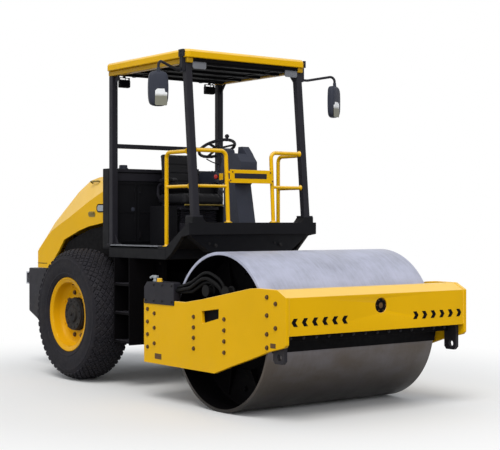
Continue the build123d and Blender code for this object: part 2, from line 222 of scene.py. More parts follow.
# %% Fitting a piece to its body
def fitted(ob, finish, body, nodes=(), edge=0.0, sharp=32):
    """Puts a finish and eased edges on a piece and fixes it to its body."""
    ob.data.materials.clear()
    ob.data.materials.append(finish)
    ob.data.shade_smooth()
    ob.data.set_sharp_from_angle(angle=math.radians(sharp))
    if edge:
        ease = ob.modifiers.new("eased_edges", "BEVEL")
        ease.width = edge / MM
        ease.segments = 2
        ease.limit_method = "ANGLE"
        ease.angle_limit = math.radians(sharp)
        ease.harden_normals = True
    if nodes:
        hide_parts(*nodes)
    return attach(ob, body)


def piece(name, b, finish, body, nodes=(), edge=0.0, sharp=32):
    """Turns the millimetre mesh into a finished piece in the model's metres."""
    bmesh.ops.recalc_face_normals(b, faces=b.faces)
    b.transform(TO_MODEL)
    mesh = bpy.data.meshes.new(name)
    b.to_mesh(mesh)
    b.free()
    ob = bpy.data.objects.new(name, mesh)
    scene.collection.objects.link(ob)
    print(name, len(mesh.polygons), "faces")
    return fitted(ob, finish, body, nodes, edge, sharp)


def eased(node, finish, edge):
    """The CAD node's own shape with its edges eased."""
    b = bmesh.new()
    b.from_mesh(frame["nodes"][node].data)
    bmesh.ops.remove_doubles(b, verts=b.verts, dist=2e-5)
    bmesh.ops.dissolve_limit(b, angle_limit=math.radians(0.6), verts=b.verts, edges=b.edges)
    b.transform(TO_MODEL.inverted())
    return piece(node + "_eased", b, finish, BODY[node], [node], edge)


def coat(finish, *nodes):
    """A CAD node with the right shape keeps its mesh and only gets its finish."""
    for node in nodes:
        data = frame["nodes"][node].data
        data.materials.clear()
        data.materials.append(finish)


print("ready to fit pieces")

# %% [markdown]
# ## Finishes
# Paint on a machine is never one colour. It is a little thicker here and thinner there, it
# has the fine skin of sprayed enamel, it wears through on edges, and dust settles low down.
# One recipe mixes these four things from noise, and each finish only changes the amounts.
# The worn edge comes from the Bevel node: where its rounded normal leaves the true one,
# there is an edge.

# %% Colours
def rgb(r, g, b):
    """A colour written 0 to 255, as the shader's linear values."""
    return tuple(((c / 255 + 0.055) / 1.055) ** 2.4 if c > 10 else c / 3294.6 for c in (r, g, b)) + (1,)


def shade(colour, amount):
    """The same colour, darker below an amount of 1 and lighter above it."""
    return tuple(min(1.0, c * amount) for c in colour[:3]) + (1,)


print("a mid grey is", tuple(round(c, 3) for c in rgb(128, 128, 128)))

# %% [markdown]
# The recipe has short words for what it needs: noise, a stretched range, a product, a mix of
# two colours, the height above the ground, how far a face looks up, the worn edge and the
# bump. Each word makes its nodes and joins them up.

# %% The recipe's words
MIXED = []


class Recipe:
    """Short words for making and joining the nodes of one finish."""

    def __init__(self, name):
        MIXED.append(name)
        self.material = bpy.data.materials.new(name)
        self.material.use_nodes = True
        self.tree = self.material.node_tree
        self.shader = self.tree.nodes["Principled BSDF"]
        self.place = self.add("ShaderNodeTexCoord").outputs["Object"]

    def add(self, kind, **settings):
        node = self.tree.nodes.new(kind)
        for key, value in settings.items():
            setattr(node, key, value)
        return node

    def join(self, source, target):
        self.tree.links.new(source, target)

    def noise(self, size, detail=4.0, stretch=(1, 1, 1), rough=0.55):
        """Noise whose features are about size metres long."""
        spread = self.add("ShaderNodeMapping")
        spread.inputs["Scale"].default_value = stretch
        self.join(self.place, spread.inputs["Vector"])
        texture = self.add("ShaderNodeTexNoise")
        texture.inputs["Scale"].default_value = 1 / size
        texture.inputs["Detail"].default_value = detail
        texture.inputs["Roughness"].default_value = rough
        self.join(spread.outputs[0], texture.inputs["Vector"])
        return texture.outputs["Fac"]

    def span(self, source, low, high, to_low=0.0, to_high=1.0):
        """Stretches the values between low and high over a new range."""
        node = self.add("ShaderNodeMapRange")
        for key, value in zip(("From Min", "From Max", "To Min", "To Max"), (low, high, to_low, to_high)):
            node.inputs[key].default_value = value
        self.join(source, node.inputs["Value"])
        return node.outputs[0]

    def times(self, first, second, how="MULTIPLY"):
        node = self.add("ShaderNodeMath", operation=how)
        for value, socket in zip((first, second), node.inputs):
            if isinstance(value, (int, float)):
                socket.default_value = value
            else:
                self.join(value, socket)
        return node.outputs[0]

    def blend(self, factor, first, second):
        """A colour between two others."""
        node = self.add("ShaderNodeMix", data_type="RGBA")
        self.join(factor, node.inputs["Factor"])
        for value, socket in ((first, node.inputs["A"]), (second, node.inputs["B"])):
            socket = [s for s in node.inputs if s.name == socket.name and s.type == "RGBA"][0]
            if isinstance(value, tuple):
                socket.default_value = value
            else:
                self.join(value, socket)
        return [s for s in node.outputs if s.type == "RGBA"][0]

    def height(self):
        """How high above the ground a point is, in metres."""
        split = self.add("ShaderNodeSeparateXYZ")
        self.join(self.place, split.inputs[0])
        return split.outputs["Z"]

    def facing_up(self):
        """0 on an upright face, up to 1 on a level one. It stays with the piece as it turns."""
        ways = self.add("ShaderNodeTexCoord")
        split = self.add("ShaderNodeSeparateXYZ")
        self.join(ways.outputs["Normal"], split.inputs[0])
        return split.outputs["Z"]

    def edges(self, radius=0.004):
        """1 along an edge, 0 on the flat."""
        soft = self.add("ShaderNodeBevel", samples=6)
        soft.inputs["Radius"].default_value = radius
        true = self.add("ShaderNodeNewGeometry")
        dot = self.add("ShaderNodeVectorMath", operation="DOT_PRODUCT")
        self.join(soft.outputs[0], dot.inputs[0])
        self.join(true.outputs["Normal"], dot.inputs[1])
        return self.span(dot.outputs["Value"], 0.995, 0.9)

    def bump(self, source, strength, depth):
        node = self.add("ShaderNodeBump")
        node.inputs["Strength"].default_value = strength
        node.inputs["Distance"].default_value = depth
        self.join(source, node.inputs["Height"])
        self.join(node.outputs[0], self.shader.inputs["Normal"])


print("the recipe is ready, and", len(MIXED), "finishes are mixed so far")

# %% [markdown]
# Each finish is the recipe with its own amounts. patch is how large the paint's cloudy patches are in metres,
# skin is the size, strength and depth of its fine bumps, worn is the colour that shows where an edge has
# rubbed, and soil is the dust below soil_top. An enamel can also get a painted highlight: it is painted paler
# on faces that look up, for the light from above.

# %% One finish from the recipe
def finish(name, colour, rough=(0.3, 0.45), vary=0.1, patch=0.35, skin=(0.0015, 0.15, 0.0004), shine=0.5,
           worn=None, wear=0.5, soil=None, soil_top=0.9, soil_most=0.5, metal=0.0, coat=0.0, painted_highlight=None):
    """A finish with patches, skin, worn edges, dust that thins out upwards, and, where given, a painted
    highlight on faces that look up.
    """
    r = Recipe(name)
    patches = r.span(r.noise(patch), 0.32, 0.68)
    made = r.blend(patches, shade(colour, 1 - vary), shade(colour, 1 + vary * 0.5))
    gloss = r.span(r.noise(patch / 6), 0.3, 0.7, rough[0], rough[1])
    # Painted highlight: faces that look up are painted paler, for light from above.
    if painted_highlight:
        made = r.blend(r.span(r.facing_up(), 0.12, 0.5, 0.0, 0.42), made, painted_highlight)
    if soil:
        low = r.span(r.height(), soil_top, 0.0, 0.0, soil_most)
        cloud = r.span(r.noise(0.09, 6), 0.38, 0.66)
        dust = r.times(low, cloud)
        made = r.blend(dust, made, soil)
        gloss = r.times(gloss, r.times(dust, 0.4), "ADD")
    if worn:
        chips = r.span(r.noise(0.03, 6, rough=0.7), 0.62 - wear * 0.2, 0.66)
        made = r.blend(r.times(r.edges(), chips), made, worn)
    r.join(made, r.shader.inputs["Base Color"])
    r.join(gloss, r.shader.inputs["Roughness"])
    r.shader.inputs["Metallic"].default_value = metal
    r.shader.inputs["Coat Weight"].default_value = coat
    r.shader.inputs["Coat Roughness"].default_value = 0.15
    r.shader.inputs["Specular IOR Level"].default_value = shine
    r.bump(r.noise(skin[0], 2), skin[1], skin[2])
    return r.material


print("one finish can be mixed from the recipe")

# %% [markdown]
# The machine is yellow above and black below. The yellow enamel is painted paler where it faces up: a painted
# highlight for the light from above, fixed to each piece. The wheels get a plain yellow without that
# highlight, a little darker as painted shade, because they stand in shade. The members under the roof's edge
# get a darker yellow still, painted shade under the roof. The blacks differ: frame paint is a soft
# grey-black, a darker black is painted shade where little light comes, shadow black is a near-black painted
# shade for parts deep in shadow and also serves small black parts, and castings are rougher than plate.

# %% Enamels and blacks
DUST = rgb(150, 135, 112)
SPRAYED = (0.003, 0.12, 0.0003)
ROLLED = (0.002, 0.2, 0.0004)
FINE = (0.002, 0.3, 0.0003)
# The yellow is painted paler on faces that look up: a painted highlight.
YELLOW = finish("yellow_enamel", rgb(233, 179, 0), (0.32, 0.44), 0.05, 0.6, SPRAYED, 0.1,
                worn=rgb(238, 200, 90), wear=0.4, soil=DUST, soil_top=0.5, soil_most=0.12,
                painted_highlight=rgb(250, 222, 150))
# A plain yellow, a little darker than the first: painted shade for the wheels, with no painted highlight.
ENAMEL = finish("plain_yellow_enamel", rgb(220, 162, 6), (0.32, 0.44), 0.05, 0.6, SPRAYED, 0.1,
                worn=rgb(238, 200, 90), wear=0.4, soil=DUST, soil_top=0.5, soil_most=0.12)
# A darker copy of the yellow: painted shade for the members under the roof's edge.
SHADED_YELLOW = finish("shaded_roof_enamel", rgb(184, 142, 22), (0.36, 0.48), 0.12, 0.5, SPRAYED, 0.1,
               worn=rgb(214, 176, 70), wear=0.4)
BLACK = finish("black_frame_paint", rgb(37, 36, 42), (0.4, 0.55), 0.16, 0.4, ROLLED, 0.12,
               worn=rgb(84, 86, 92), wear=0.45, soil=DUST, soil_top=1.0, soil_most=0.08)
# A darker copy of the frame black: painted shade for parts where little light comes.
SHADE_BLACK = finish("deep_black_paint", rgb(20, 20, 23), (0.45, 0.6), 0.2, 0.4, ROLLED, 0.08,
              worn=rgb(60, 61, 66), wear=0.4, soil=DUST, soil_top=1.0, soil_most=0.05)
IRON = finish("cast_iron_paint", rgb(34, 33, 34), (0.5, 0.7), 0.16, 0.2, (0.006, 0.5, 0.0012), 0.12,
              worn=rgb(84, 84, 86), soil=DUST, soil_top=1.1, soil_most=0.1)
PLASTIC = finish("moulded_plastic", rgb(52, 55, 66), (0.42, 0.55), 0.08, 0.15, (0.0012, 0.5, 0.0005), 0.15)
DARK = finish("shadow_black", rgb(10, 9, 11), (0.5, 0.7), 0.2, 0.2, (0.002, 0.3, 0.0005), 0.04)
print(", ".join(MIXED))

# %% [markdown]
# The small parts have finishes of their own: browned bolts, zinc plate, chromed rods, hose rubber, grey
# primer, a red knob, and a dull, darker yellow with worn edges.

# %% Small parts' finishes
BOLT = finish("browned_bolt_steel", rgb(96, 70, 40), (0.4, 0.6), 0.3, 0.02, FINE, 0.2, metal=0.3)
ZINC = finish("zinc_plate", rgb(150, 156, 160), (0.3, 0.45), 0.15, 0.03, (0.002, 0.2, 0.0003), metal=0.6)
CHROME = finish("chromed_rod", rgb(205, 208, 212), (0.06, 0.16), 0.04, 0.1, (0.002, 0.05, 0.0001), metal=1.0)
RUBBER = finish("hose_rubber", rgb(13, 13, 14), (0.5, 0.65), 0.15, 0.05, (0.003, 0.5, 0.0008), 0.1)
RED = finish("red_knob", rgb(178, 24, 20), (0.25, 0.35), 0.06, 0.05, (0.002, 0.1, 0.0002), 0.4)
GREY = finish("grey_primer_steel", rgb(112, 114, 120), (0.4, 0.55), 0.12, 0.12, ROLLED, 0.3,
              worn=rgb(170, 172, 176), metal=0.2)
OLIVE = finish("rubbed_yellow_enamel", rgb(132, 112, 44), (0.4, 0.55), 0.2, 0.05, (0.003, 0.2, 0.0003), 0.3,
               worn=rgb(196, 168, 80))
print(len(MIXED), "finishes are mixed")

# %% [markdown]
# The drum is bare steel that the ground itself has polished. It shows streaks that run round it, cloudy
# stains of dried water and fine scratches. Below a metre it takes a brown film that is partly soil and partly
# painted shade, and from half a metre down it fades into a near-black painted shade. Both are fixed to the
# drum and turn with it. Noise that is longer round the drum than across it makes the streaks: the mapping
# stretches X and Z, which change round the drum, and squeezes Y, which runs along its axle.

# %% Rolled drum steel
def drum_finish(name, pale, dark):
    r = Recipe(name)
    clouds = r.span(r.noise(0.24, 8, (1, 0.8, 1), 0.62), 0.36, 0.64)
    streaks = r.span(r.noise(0.05, 5, (0.35, 2.2, 0.35), 0.6), 0.35, 0.7)
    made = r.blend(clouds, shade(pale, 0.7), pale)
    made = r.blend(r.times(streaks, 0.5), made, shade(pale, 1.12))
    # Soil and painted shade: below a metre the steel takes the brown film, partly soil and partly shade
    # painted in.
    soil_and_shade = r.span(r.height(), 1.0, 0.46, 0.0, 0.92)
    soil_and_shade = r.times(soil_and_shade, r.span(r.noise(0.3, 7, (1, 0.6, 1), 0.6), 0.3, 0.6, 0.78, 1.0))
    made = r.blend(soil_and_shade, made, dark)
    # Painted shade: from half a metre down the drum fades to near black.
    made = r.blend(r.span(r.height(), 0.52, 0.08, 0.0, 0.94), made, shade(dark, 0.07))
    r.join(made, r.shader.inputs["Base Color"])
    r.join(r.span(clouds, 0, 1, 0.36, 0.52), r.shader.inputs["Roughness"])
    r.shader.inputs["Metallic"].default_value = 0.3
    r.shader.inputs["Specular IOR Level"].default_value = 0.3
    r.bump(r.noise(0.004, 4, (0.3, 3, 0.3)), 0.25, 0.0006)
    return r.material


DRUM_STEEL = drum_finish("rolled_drum_steel", rgb(178, 181, 200), rgb(98, 86, 72))
print("the drum's steel has", len(DRUM_STEEL.node_tree.nodes), "nodes")

# %% [markdown]
# Tyre rubber is a matt dark grey that goes brown-grey where soil has been rubbed in, and it has a fine
# moulded skin. Its lighter grey edges are partly wear and partly a painted highlight on the tread blocks.
# Seat vinyl is darker and has a leather-like grain of small cells, which a Voronoi pattern gives.

# %% Tyre rubber, seat vinyl and glass
# The lighter edges are partly wear and partly a painted highlight on the blocks' edges.
TYRE = finish("tyre_rubber", rgb(33, 32, 37), (0.62, 0.8), 0.2, 0.12, (0.003, 0.5, 0.0008), 0.12,
              worn=rgb(76, 75, 80), wear=0.9, soil=rgb(70, 65, 62), soil_top=6.0, soil_most=0.15)


def vinyl(name, colour):
    r = Recipe(name)
    made = r.blend(r.span(r.noise(0.08), 0.35, 0.65), shade(colour, 0.85), shade(colour, 1.15))
    r.join(made, r.shader.inputs["Base Color"])
    r.join(r.span(r.noise(0.04), 0.3, 0.7, 0.42, 0.58), r.shader.inputs["Roughness"])
    r.shader.inputs["Specular IOR Level"].default_value = 0.15
    cells = r.add("ShaderNodeTexVoronoi", feature="DISTANCE_TO_EDGE")
    cells.inputs["Scale"].default_value = 420
    r.join(r.place, cells.inputs["Vector"])
    r.bump(r.span(cells.outputs["Distance"], 0, 0.25), 0.35, 0.0005)
    return r.material


VINYL = vinyl("seat_vinyl_grain", rgb(26, 26, 29))
GLASS = finish("mirror_glass", rgb(206, 212, 216), (0.03, 0.06), 0.03, 0.2, (0.01, 0.02, 0.0001), metal=1.0)


def convex_glass(middle, spread):
    """A small wide-angle mirror with a painted reflection: pale sky above a middle height, grey-green ground
    below it.
    """
    r = Recipe("convex_mirror_glass")
    ripple = r.times(r.noise(0.03), spread * 0.6)
    # Painted reflection: pale sky above the height, grey-green ground below it.
    sky = r.span(r.times(r.height(), ripple, "ADD"), middle - spread, middle + spread)
    r.join(r.blend(sky, rgb(122, 121, 106), rgb(238, 240, 242)), r.shader.inputs["Base Color"])
    r.join(r.span(r.noise(0.05), 0.3, 0.7, 0.12, 0.22), r.shader.inputs["Roughness"])
    r.shader.inputs["Specular IOR Level"].default_value = 0.3
    r.bump(r.noise(0.02), 0.05, 0.0002)
    return r.material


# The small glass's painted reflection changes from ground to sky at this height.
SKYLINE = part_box("mirrors")[0].z + 0.095
CONVEX = convex_glass(SKYLINE, 0.012)
LENS = finish("lamp_lens", rgb(188, 192, 190), (0.08, 0.15), 0.06, 0.02, (0.008, 0.6, 0.001), coat=0.6)
print(len(MIXED), "finishes are mixed in all")

# %% [markdown]
# ## Camera, floor and light
# The picture is a plain catalogue view. The machine is seen from its front right, from about
# eleven metres away, with the camera at chest height. A long lens keeps its far side from
# looking small.

# %% Camera
view_from = Vector((9.122, -6.323, 1.452))
turn, rise = math.radians(180 - 37.16), math.radians(-0.17)
look = Vector((math.cos(turn) * math.cos(rise), math.sin(turn) * math.cos(rise), math.sin(rise)))
camera = bpy.data.objects.new("camera", bpy.data.cameras.new("camera"))
scene.collection.objects.link(camera)
camera.location = view_from
camera.rotation_euler = look.to_track_quat("-Z", "Y").to_euler()
camera.data.lens = 88.9
camera.data.clip_end = 200
scene.camera = camera
scene.view_settings.view_transform = "Standard"
print("camera", tuple(round(v, 2) for v in view_from), "lens", camera.data.lens)

# %% [markdown]
# The sky is pale and slightly blue, and it gives the soft light from all sides. Where a ray
# from the camera, or from a mirror or glass, lands on it, plain white is shown instead. That
# is done with the Light Path node, so the background's colour adds no light to the machine.

# %% Sky
def grow(tree, kind, *sources, **settings):
    """Adds a node, sets it up, and joins the sources to its first sockets in order."""
    node = tree.nodes.new(kind)
    for key, value in settings.items():
        setattr(node, key, value)
    for source, socket in zip(sources, node.inputs):
        tree.links.new(source, socket)
    return node


world = bpy.data.worlds.new("studio")
scene.world = world
world.use_nodes = True
tree = world.node_tree
sky = tree.nodes["Background"]
sky.inputs["Color"].default_value = (0.93, 0.96, 1.0, 1)
sky.inputs["Strength"].default_value = 0.62
white = grow(tree, "ShaderNodeBackground")
white.inputs["Color"].default_value = (1, 1, 1, 1)
ray = grow(tree, "ShaderNodeLightPath").outputs
mirrored = grow(tree, "ShaderNodeMath", ray["Is Glossy Ray"], ray["Is Transmission Ray"], operation="MAXIMUM")
seen = grow(tree, "ShaderNodeMath", mirrored.outputs[0], ray["Is Camera Ray"], operation="MAXIMUM")
backdrop = grow(tree, "ShaderNodeMixShader", seen.outputs[0], sky.outputs[0], white.outputs[0])
tree.links.new(backdrop.outputs[0], tree.nodes["World Output"].inputs[0])
print("sky strength", round(sky.inputs["Strength"].default_value, 2))

# %% [markdown]
# The floor is one big flat sheet. It is pale to the eye, but it is a darker grey for light
# that bounces off it, so that it doesn't light the machine's underside too much. It fades to
# plain white further out, so no horizon shows, and near the machine it keeps the shadow.

# %% Floor
FLOOR_HALF, FADE_START, FADE_END = 60, 2.2, 4.6
b = bmesh.new()
bmesh.ops.create_grid(b, x_segments=1, y_segments=1, size=FLOOR_HALF)
floor_mesh = bpy.data.meshes.new("floor")
b.to_mesh(floor_mesh)
b.free()
floor = bpy.data.objects.new("floor", floor_mesh)
scene.collection.objects.link(floor)
floor.location.z = -0.0005
paving = bpy.data.materials.new("pale_floor")
paving.use_nodes = True
tree = paving.node_tree
lit = tree.nodes["Principled BSDF"]
lit.inputs["Roughness"].default_value = 0.9
lit.inputs["Specular IOR Level"].default_value = 0.1
ray = grow(tree, "ShaderNodeLightPath").outputs
paleness = grow(tree, "ShaderNodeMix", data_type="RGBA")
tree.links.new(ray["Is Diffuse Ray"], paleness.inputs["Factor"])
pale, dim = [socket for socket in paleness.inputs if socket.type == "RGBA"]
pale.default_value = (0.82, 0.82, 0.82, 1)
dim.default_value = (0.3, 0.3, 0.3, 1)
floor_colour = [socket for socket in paleness.outputs if socket.type == "RGBA"][0]
tree.links.new(floor_colour, lit.inputs["Base Color"])
ground = grow(tree, "ShaderNodeTexCoord").outputs["Object"]
length = grow(tree, "ShaderNodeVectorMath", ground, operation="LENGTH").outputs["Value"]
fade = grow(tree, "ShaderNodeMapRange", length, interpolation_type="SMOOTHSTEP")
fade.inputs["From Min"].default_value = FADE_START
fade.inputs["From Max"].default_value = FADE_END
seen = grow(tree, "ShaderNodeMath", fade.outputs[0], ray["Is Camera Ray"], operation="MULTIPLY")
glow = grow(tree, "ShaderNodeEmission")
both = grow(tree, "ShaderNodeMixShader", seen.outputs[0], lit.outputs[0], glow.outputs[0])
tree.links.new(both.outputs[0], tree.nodes["Material Output"].inputs[0])
floor.data.materials.append(paving)
print("the floor fades from", FADE_START, "to", FADE_END, "m out")

# %% [markdown]
# Three far lamps do the rest: a key from the upper front, and two weak fills that lift the
# dark sides. Each has a wide angle, so its shadows have soft edges. They stay at a level
# where a colour looks as it was mixed.

# %% Lamps
def lamp(name, strength, way, softness, tint=(1, 1, 1)):
    """A far lamp shining along a direction, with soft-edged shadows."""
    light = bpy.data.objects.new(name, bpy.data.lights.new(name, "SUN"))
    light.data.energy = strength
    light.data.angle = math.radians(softness)
    light.data.color = tint
    light.rotation_euler = Vector(way).to_track_quat("-Z", "Y").to_euler()
    scene.collection.objects.link(light)


lamp("key", 1.5, (-0.45, 0.5, -1.0), 30, (1, 0.985, 0.95))
lamp("side_fill", 0.5, (-0.3, 1.0, -0.25), 50)
lamp("front_fill", 0.55, (-1.0, 0.3, -0.3), 50)
print(len(bpy.data.lights), "lamps")

# %% [markdown]
# ## Rear tyres
# A roller's drive tyre has neither the tall bars of a tractor's nor a road tyre's grooves.
# Its crown is covered in rows of diamond blocks, which grip soil either way without
# marking it. The carcass is turned on the lathe. The blocks are then set on it row by row,
# each one a small cut-off pyramid, with every second row shifted by half a block.

# %% The tyre's profile
left_low, left_high = limits("left_tyre")
WHEEL_Y = (left_low.y + left_high.y) / 2
CARCASS_R, SHOULDER_R, TREAD_HALF = 589.5, 536, 172


def crown(t):
    """Radius, distance across and outward direction on the tread, t from -1 to 1."""
    fall = abs(t) ** 3
    r = CARCASS_R - (CARCASS_R - SHOULDER_R) * fall
    lean = Vector((TREAD_HALF, 3 * (CARCASS_R - SHOULDER_R) * t * abs(t))).normalized()
    return r, TREAD_HALF * t, lean


print("the crown falls by", CARCASS_R - SHOULDER_R, "mm from its middle to its shoulder")

# %% [markdown]
# One block stands on four points of the crown, a long one and a short one crossed. Its foot
# is sunk a millimetre into the carcass, and its top is smaller than its foot.

# %% One block of the tread
BLOCK_DEEP, BLOCK_SUNK, BLOCK_TOP = 11, 1.0, 0.74


def block(b, place, t, turn, half_across, half_turn):
    """A cut-off pyramid at t across the crown and at an angle round it."""
    base, top = [], []
    for dt, da in ((-half_across, 0), (0, half_turn), (half_across, 0), (0, -half_turn)):
        for ring, grow, lift in ((base, 1.0, -BLOCK_SUNK), (top, BLOCK_TOP, BLOCK_DEEP)):
            at = max(-1.0, min(1.0, t + dt * grow))
            r, h, lean = crown(at)
            r += lean.x * lift
            h += lean.y * lift
            a = turn + da * grow
            ring.append(b.verts.new(place @ Vector((r * math.cos(a), r * math.sin(a), h))))
    b.faces.new(top)
    for i in range(4):
        j = (i + 1) % 4
        b.faces.new((base[i], base[j], top[j], top[i]))


print("a block stands", BLOCK_DEEP, "mm high")

# %% [markdown]
# The side wall bulges, and it carries a few low rings where the mould's halves met. Fifteen
# rows of fifty-four blocks cover the crown.

# %% Both tyres
BLOCKS_ROUND, BLOCK_ROWS, TREAD_REACH = 54, 15, 0.985


def tyre(side, sign):
    place = facing((0, sign * WHEEL_Y, AXLE_Z), (0, 1, 0))
    b = bmesh.new()
    wall = [(306, 149), (339, 150), (347, 164), (356, 172), (366, 175), (372, 181), (380, 182),
            (386, 179), (405, 183), (430, 187), (470, 187), (496, 183), (502, 185), (508, 185),
            (513, 180), (526, 177)]
    tread = [crown(k / 14)[:2] for k in range(14, -15, -1)]
    outline = [(r, h) for r, h in wall] + tread + [(r, -h) for r, h in wall[::-1]]
    turned(b, outline, place, 120)
    step = 2 * TREAD_REACH / (BLOCK_ROWS - 1)
    for row in range(BLOCK_ROWS):
        t = -TREAD_REACH + 2 * TREAD_REACH * row / (BLOCK_ROWS - 1)
        for k in range(BLOCKS_ROUND):
            turn = math.tau * (k + 0.5 * (row % 2)) / BLOCKS_ROUND
            block(b, place, t, turn, 0.86 * step, math.tau / BLOCKS_ROUND * 0.41)
    piece(f"{side}_tyre_treaded", b, TYRE, f"{side}_wheel", [f"{side}_tyre"], sharp=28)


for side, sign in (("left", 1), ("right", -1)):
    tyre(side, sign)

# %% [markdown]
# ## Rims and hubs
# The rim is a deep dish pressed from plate: a rolled flange, a seat for the tyre's bead, a
# sloping well, and a disc that bolts to the hub. Its flange and its disc are one outline,
# turned on the lathe. The wheel's nuts and the valve stem are added one by one.

# %% Rims, wheel nuts and valves
NUT_CIRCLE = 204


def wheel_face(sign):
    """The wheel's middle with Z pointing out, and that direction."""
    place = facing((0, sign * WHEEL_Y, AXLE_Z), (0, sign, 0))
    return place, place.to_3x3() @ Vector((0, 0, 1))


def rim(side, sign):
    place, out = wheel_face(sign)
    b = bmesh.new()
    dish = [(305, 149), (330, 149.5), (336, 151), (339, 155), (336, 159.5), (329, 160), (322, 157),
            (314, 152), (300, 149), (294, 144), (291, 130), (289, 92), (284, 74), (268, 52), (256, 45),
            (228, 42), (222, 44), (200, 44), (186, 42), (152, 42), (152, 31), (250, 31), (262, 22),
            (276, -8), (289, -60), (292, -158), (331, -160), (339, -155), (336, -151), (305, -149)]
    turned(b, dish, place, 96)
    turned(b, [(296, 138), (301, 141), (301, 146), (296, 148)], place, 96)
    for u, v in circle(8, 262, 0.5):
        turned(b, [(0, -8), (11, -8), (11, 2), (8, 4), (0, 4)], facing(place @ Vector((u, v, 50)), out), 16)
    # The rim gets the plain, darker yellow: painted shade.
    piece(f"{side}_rim_dish", b, ENAMEL, f"{side}_wheel", [f"{side}_rim"])
    b = bmesh.new()
    for u, v in circle(10, NUT_CIRCLE):
        bolt(b, place @ Vector((u, v, 44)), out, 32)
    stem = [place @ Vector(p) for p in ((0, 276, 60), (0, 270, 92), (0, 268, 112))]
    tube(b, stem, 5, 20, 8)
    piece(f"{side}_wheel_nuts", b, BOLT, f"{side}_wheel")


print("a rim's nut circle is", 2 * NUT_CIRCLE, "mm across")

# %% [markdown]
# The hub holds the wheel's reduction gears, so it is a big dark drum. It has cast ribs
# round its side, and its cover is held by a circle of twelve bolts. With it, both wheels
# can be put together.

# %% Hubs and both wheels
HUB_FACE = limits("left_hub")[1].y - WHEEL_Y - 14


def hub(side, sign):
    place, out = wheel_face(sign)
    b = bmesh.new()
    turned(b, [(70.1, -160), (140, -160), (149, -150), (149, 28), (149, HUB_FACE - 22), (143, HUB_FACE - 16),
               (143, HUB_FACE - 10), (147, HUB_FACE - 6), (144, HUB_FACE), (96, HUB_FACE), (90, HUB_FACE - 4),
               (76, HUB_FACE - 4), (70, HUB_FACE + 12), (62, HUB_FACE + 14), (0, HUB_FACE + 14),
               (0, HUB_FACE - 30), (70.1, HUB_FACE - 30)], place, 72)
    turned(b, [(100, 6), (205, 6), (205, 30), (100, 30)], place, 72)
    for u, v in circle(18, 149):
        bar(b, (-4, 4), (-4, 4), (-16, 16), facing(place @ Vector((u, v, 62)), out))
    for u, v in circle(12, 121, 0.5):
        bolt(b, place @ Vector((u, v, HUB_FACE)), out, 17, washer=False)
    bolt(b, place @ Vector((0, 0, HUB_FACE + 14)), out, 26)
    bolt(b, place @ Vector((42, 12, HUB_FACE + 14)), out, 13, washer=False)
    piece(f"{side}_hub_cast", b, IRON, f"{side}_wheel", [f"{side}_hub"], edge=1.5)


for side, sign in (("left", 1), ("right", -1)):
    rim(side, sign)
    hub(side, sign)
print("hub cover stands", round(HUB_FACE), "mm out from the wheel's middle")

# %% [markdown]
# ## The drum
# The drum is a thick rolled plate with its long edge ground round, closed by two heads set
# well back from the ends. The shell is turned with many steps, so that its outline stays
# round close up. Each head gets ribs, a hub ring, a weld round its rim and drain plugs,
# because both recesses can be looked into.

# %% Drum shell, heads and axle
drum_low, drum_high = limits("drum_shell")
DRUM_X, DRUM_Z = (drum_low.x + drum_high.x) / 2, (drum_low.z + drum_high.z) / 2
DRUM_R, DRUM_HALF = (drum_high.x - drum_low.x) / 2, drum_high.y
axle = facing((DRUM_X, 0, DRUM_Z), (0, 1, 0))
b = bmesh.new()
inner = DRUM_R - 25
shell = [(inner, -DRUM_HALF + 2), (inner + 2, -DRUM_HALF), (DRUM_R - 4, -DRUM_HALF),
         (DRUM_R - 1.2, -DRUM_HALF + 1.2), (DRUM_R, -DRUM_HALF + 4)]
cuts = [(DRUM_R, -DRUM_HALF + 4 + (2 * DRUM_HALF - 8) * k / 12) for k in range(1, 12)]
shell = shell + cuts + [(r, -h) for r, h in shell[::-1]]
turned(b, shell, axle, 240)
piece("drum_shell_rolled", b, DRUM_STEEL, "drum", ["drum_shell"])
b = bmesh.new()
for sign in (1, -1):
    head = facing((DRUM_X, 0, DRUM_Z), (0, sign, 0))
    turned(b, [(0, 562), (inner, 562), (inner, 602), (inner - 6, 600), (inner - 14, 591), (inner - 15, 590),
               (330, 590), (326, 594), (300, 594), (296, 590), (0, 590)], head, 96)
    # A dark sleeve lines each recess wall. The sleeve and the heads get the shadow black: painted shade in
    # the deep recess.
    turned(b, [(inner - 0.4, 602), (inner - 0.4, 836), (inner - 2.5, 838), (inner - 2.5, 602)], head, 120)
    for k in range(8):
        rib = head @ Matrix.Rotation(math.tau * (k + 0.5) / 8, 4, "Z")
        plate(b, [(310, 588), (560, 588), (560, 600), (330, 640), (310, 640)], "Y", -6, 6, rib)
    for u, v in circle(4, 450):
        bolt(b, head @ Vector((u, v, 590)), (0, sign, 0), 36)
piece("drum_heads_ribbed", b, DARK, "drum", ["drum_heads"], edge=2)
coat(CHROME, "drum_journals", "steering_pin", "oscillation_shaft", "left_steering_rod", "right_steering_rod")
coat(IRON, "exciter_housing", "tow_lug")
print("drum", round(2 * DRUM_R), "mm across and", round(2 * DRUM_HALF), "mm wide")

# %% [markdown]
# ## Front frame
# Two thick flame-cut plates hold the drum between them, with a box beam across the front.
# The plates' own outlines are right in the CAD, so they are kept and only eased. What the
# plates gain is what a fitter adds: rows of heavy bolts that hold the drum's supports, and
# small blank plates with two rivets each.

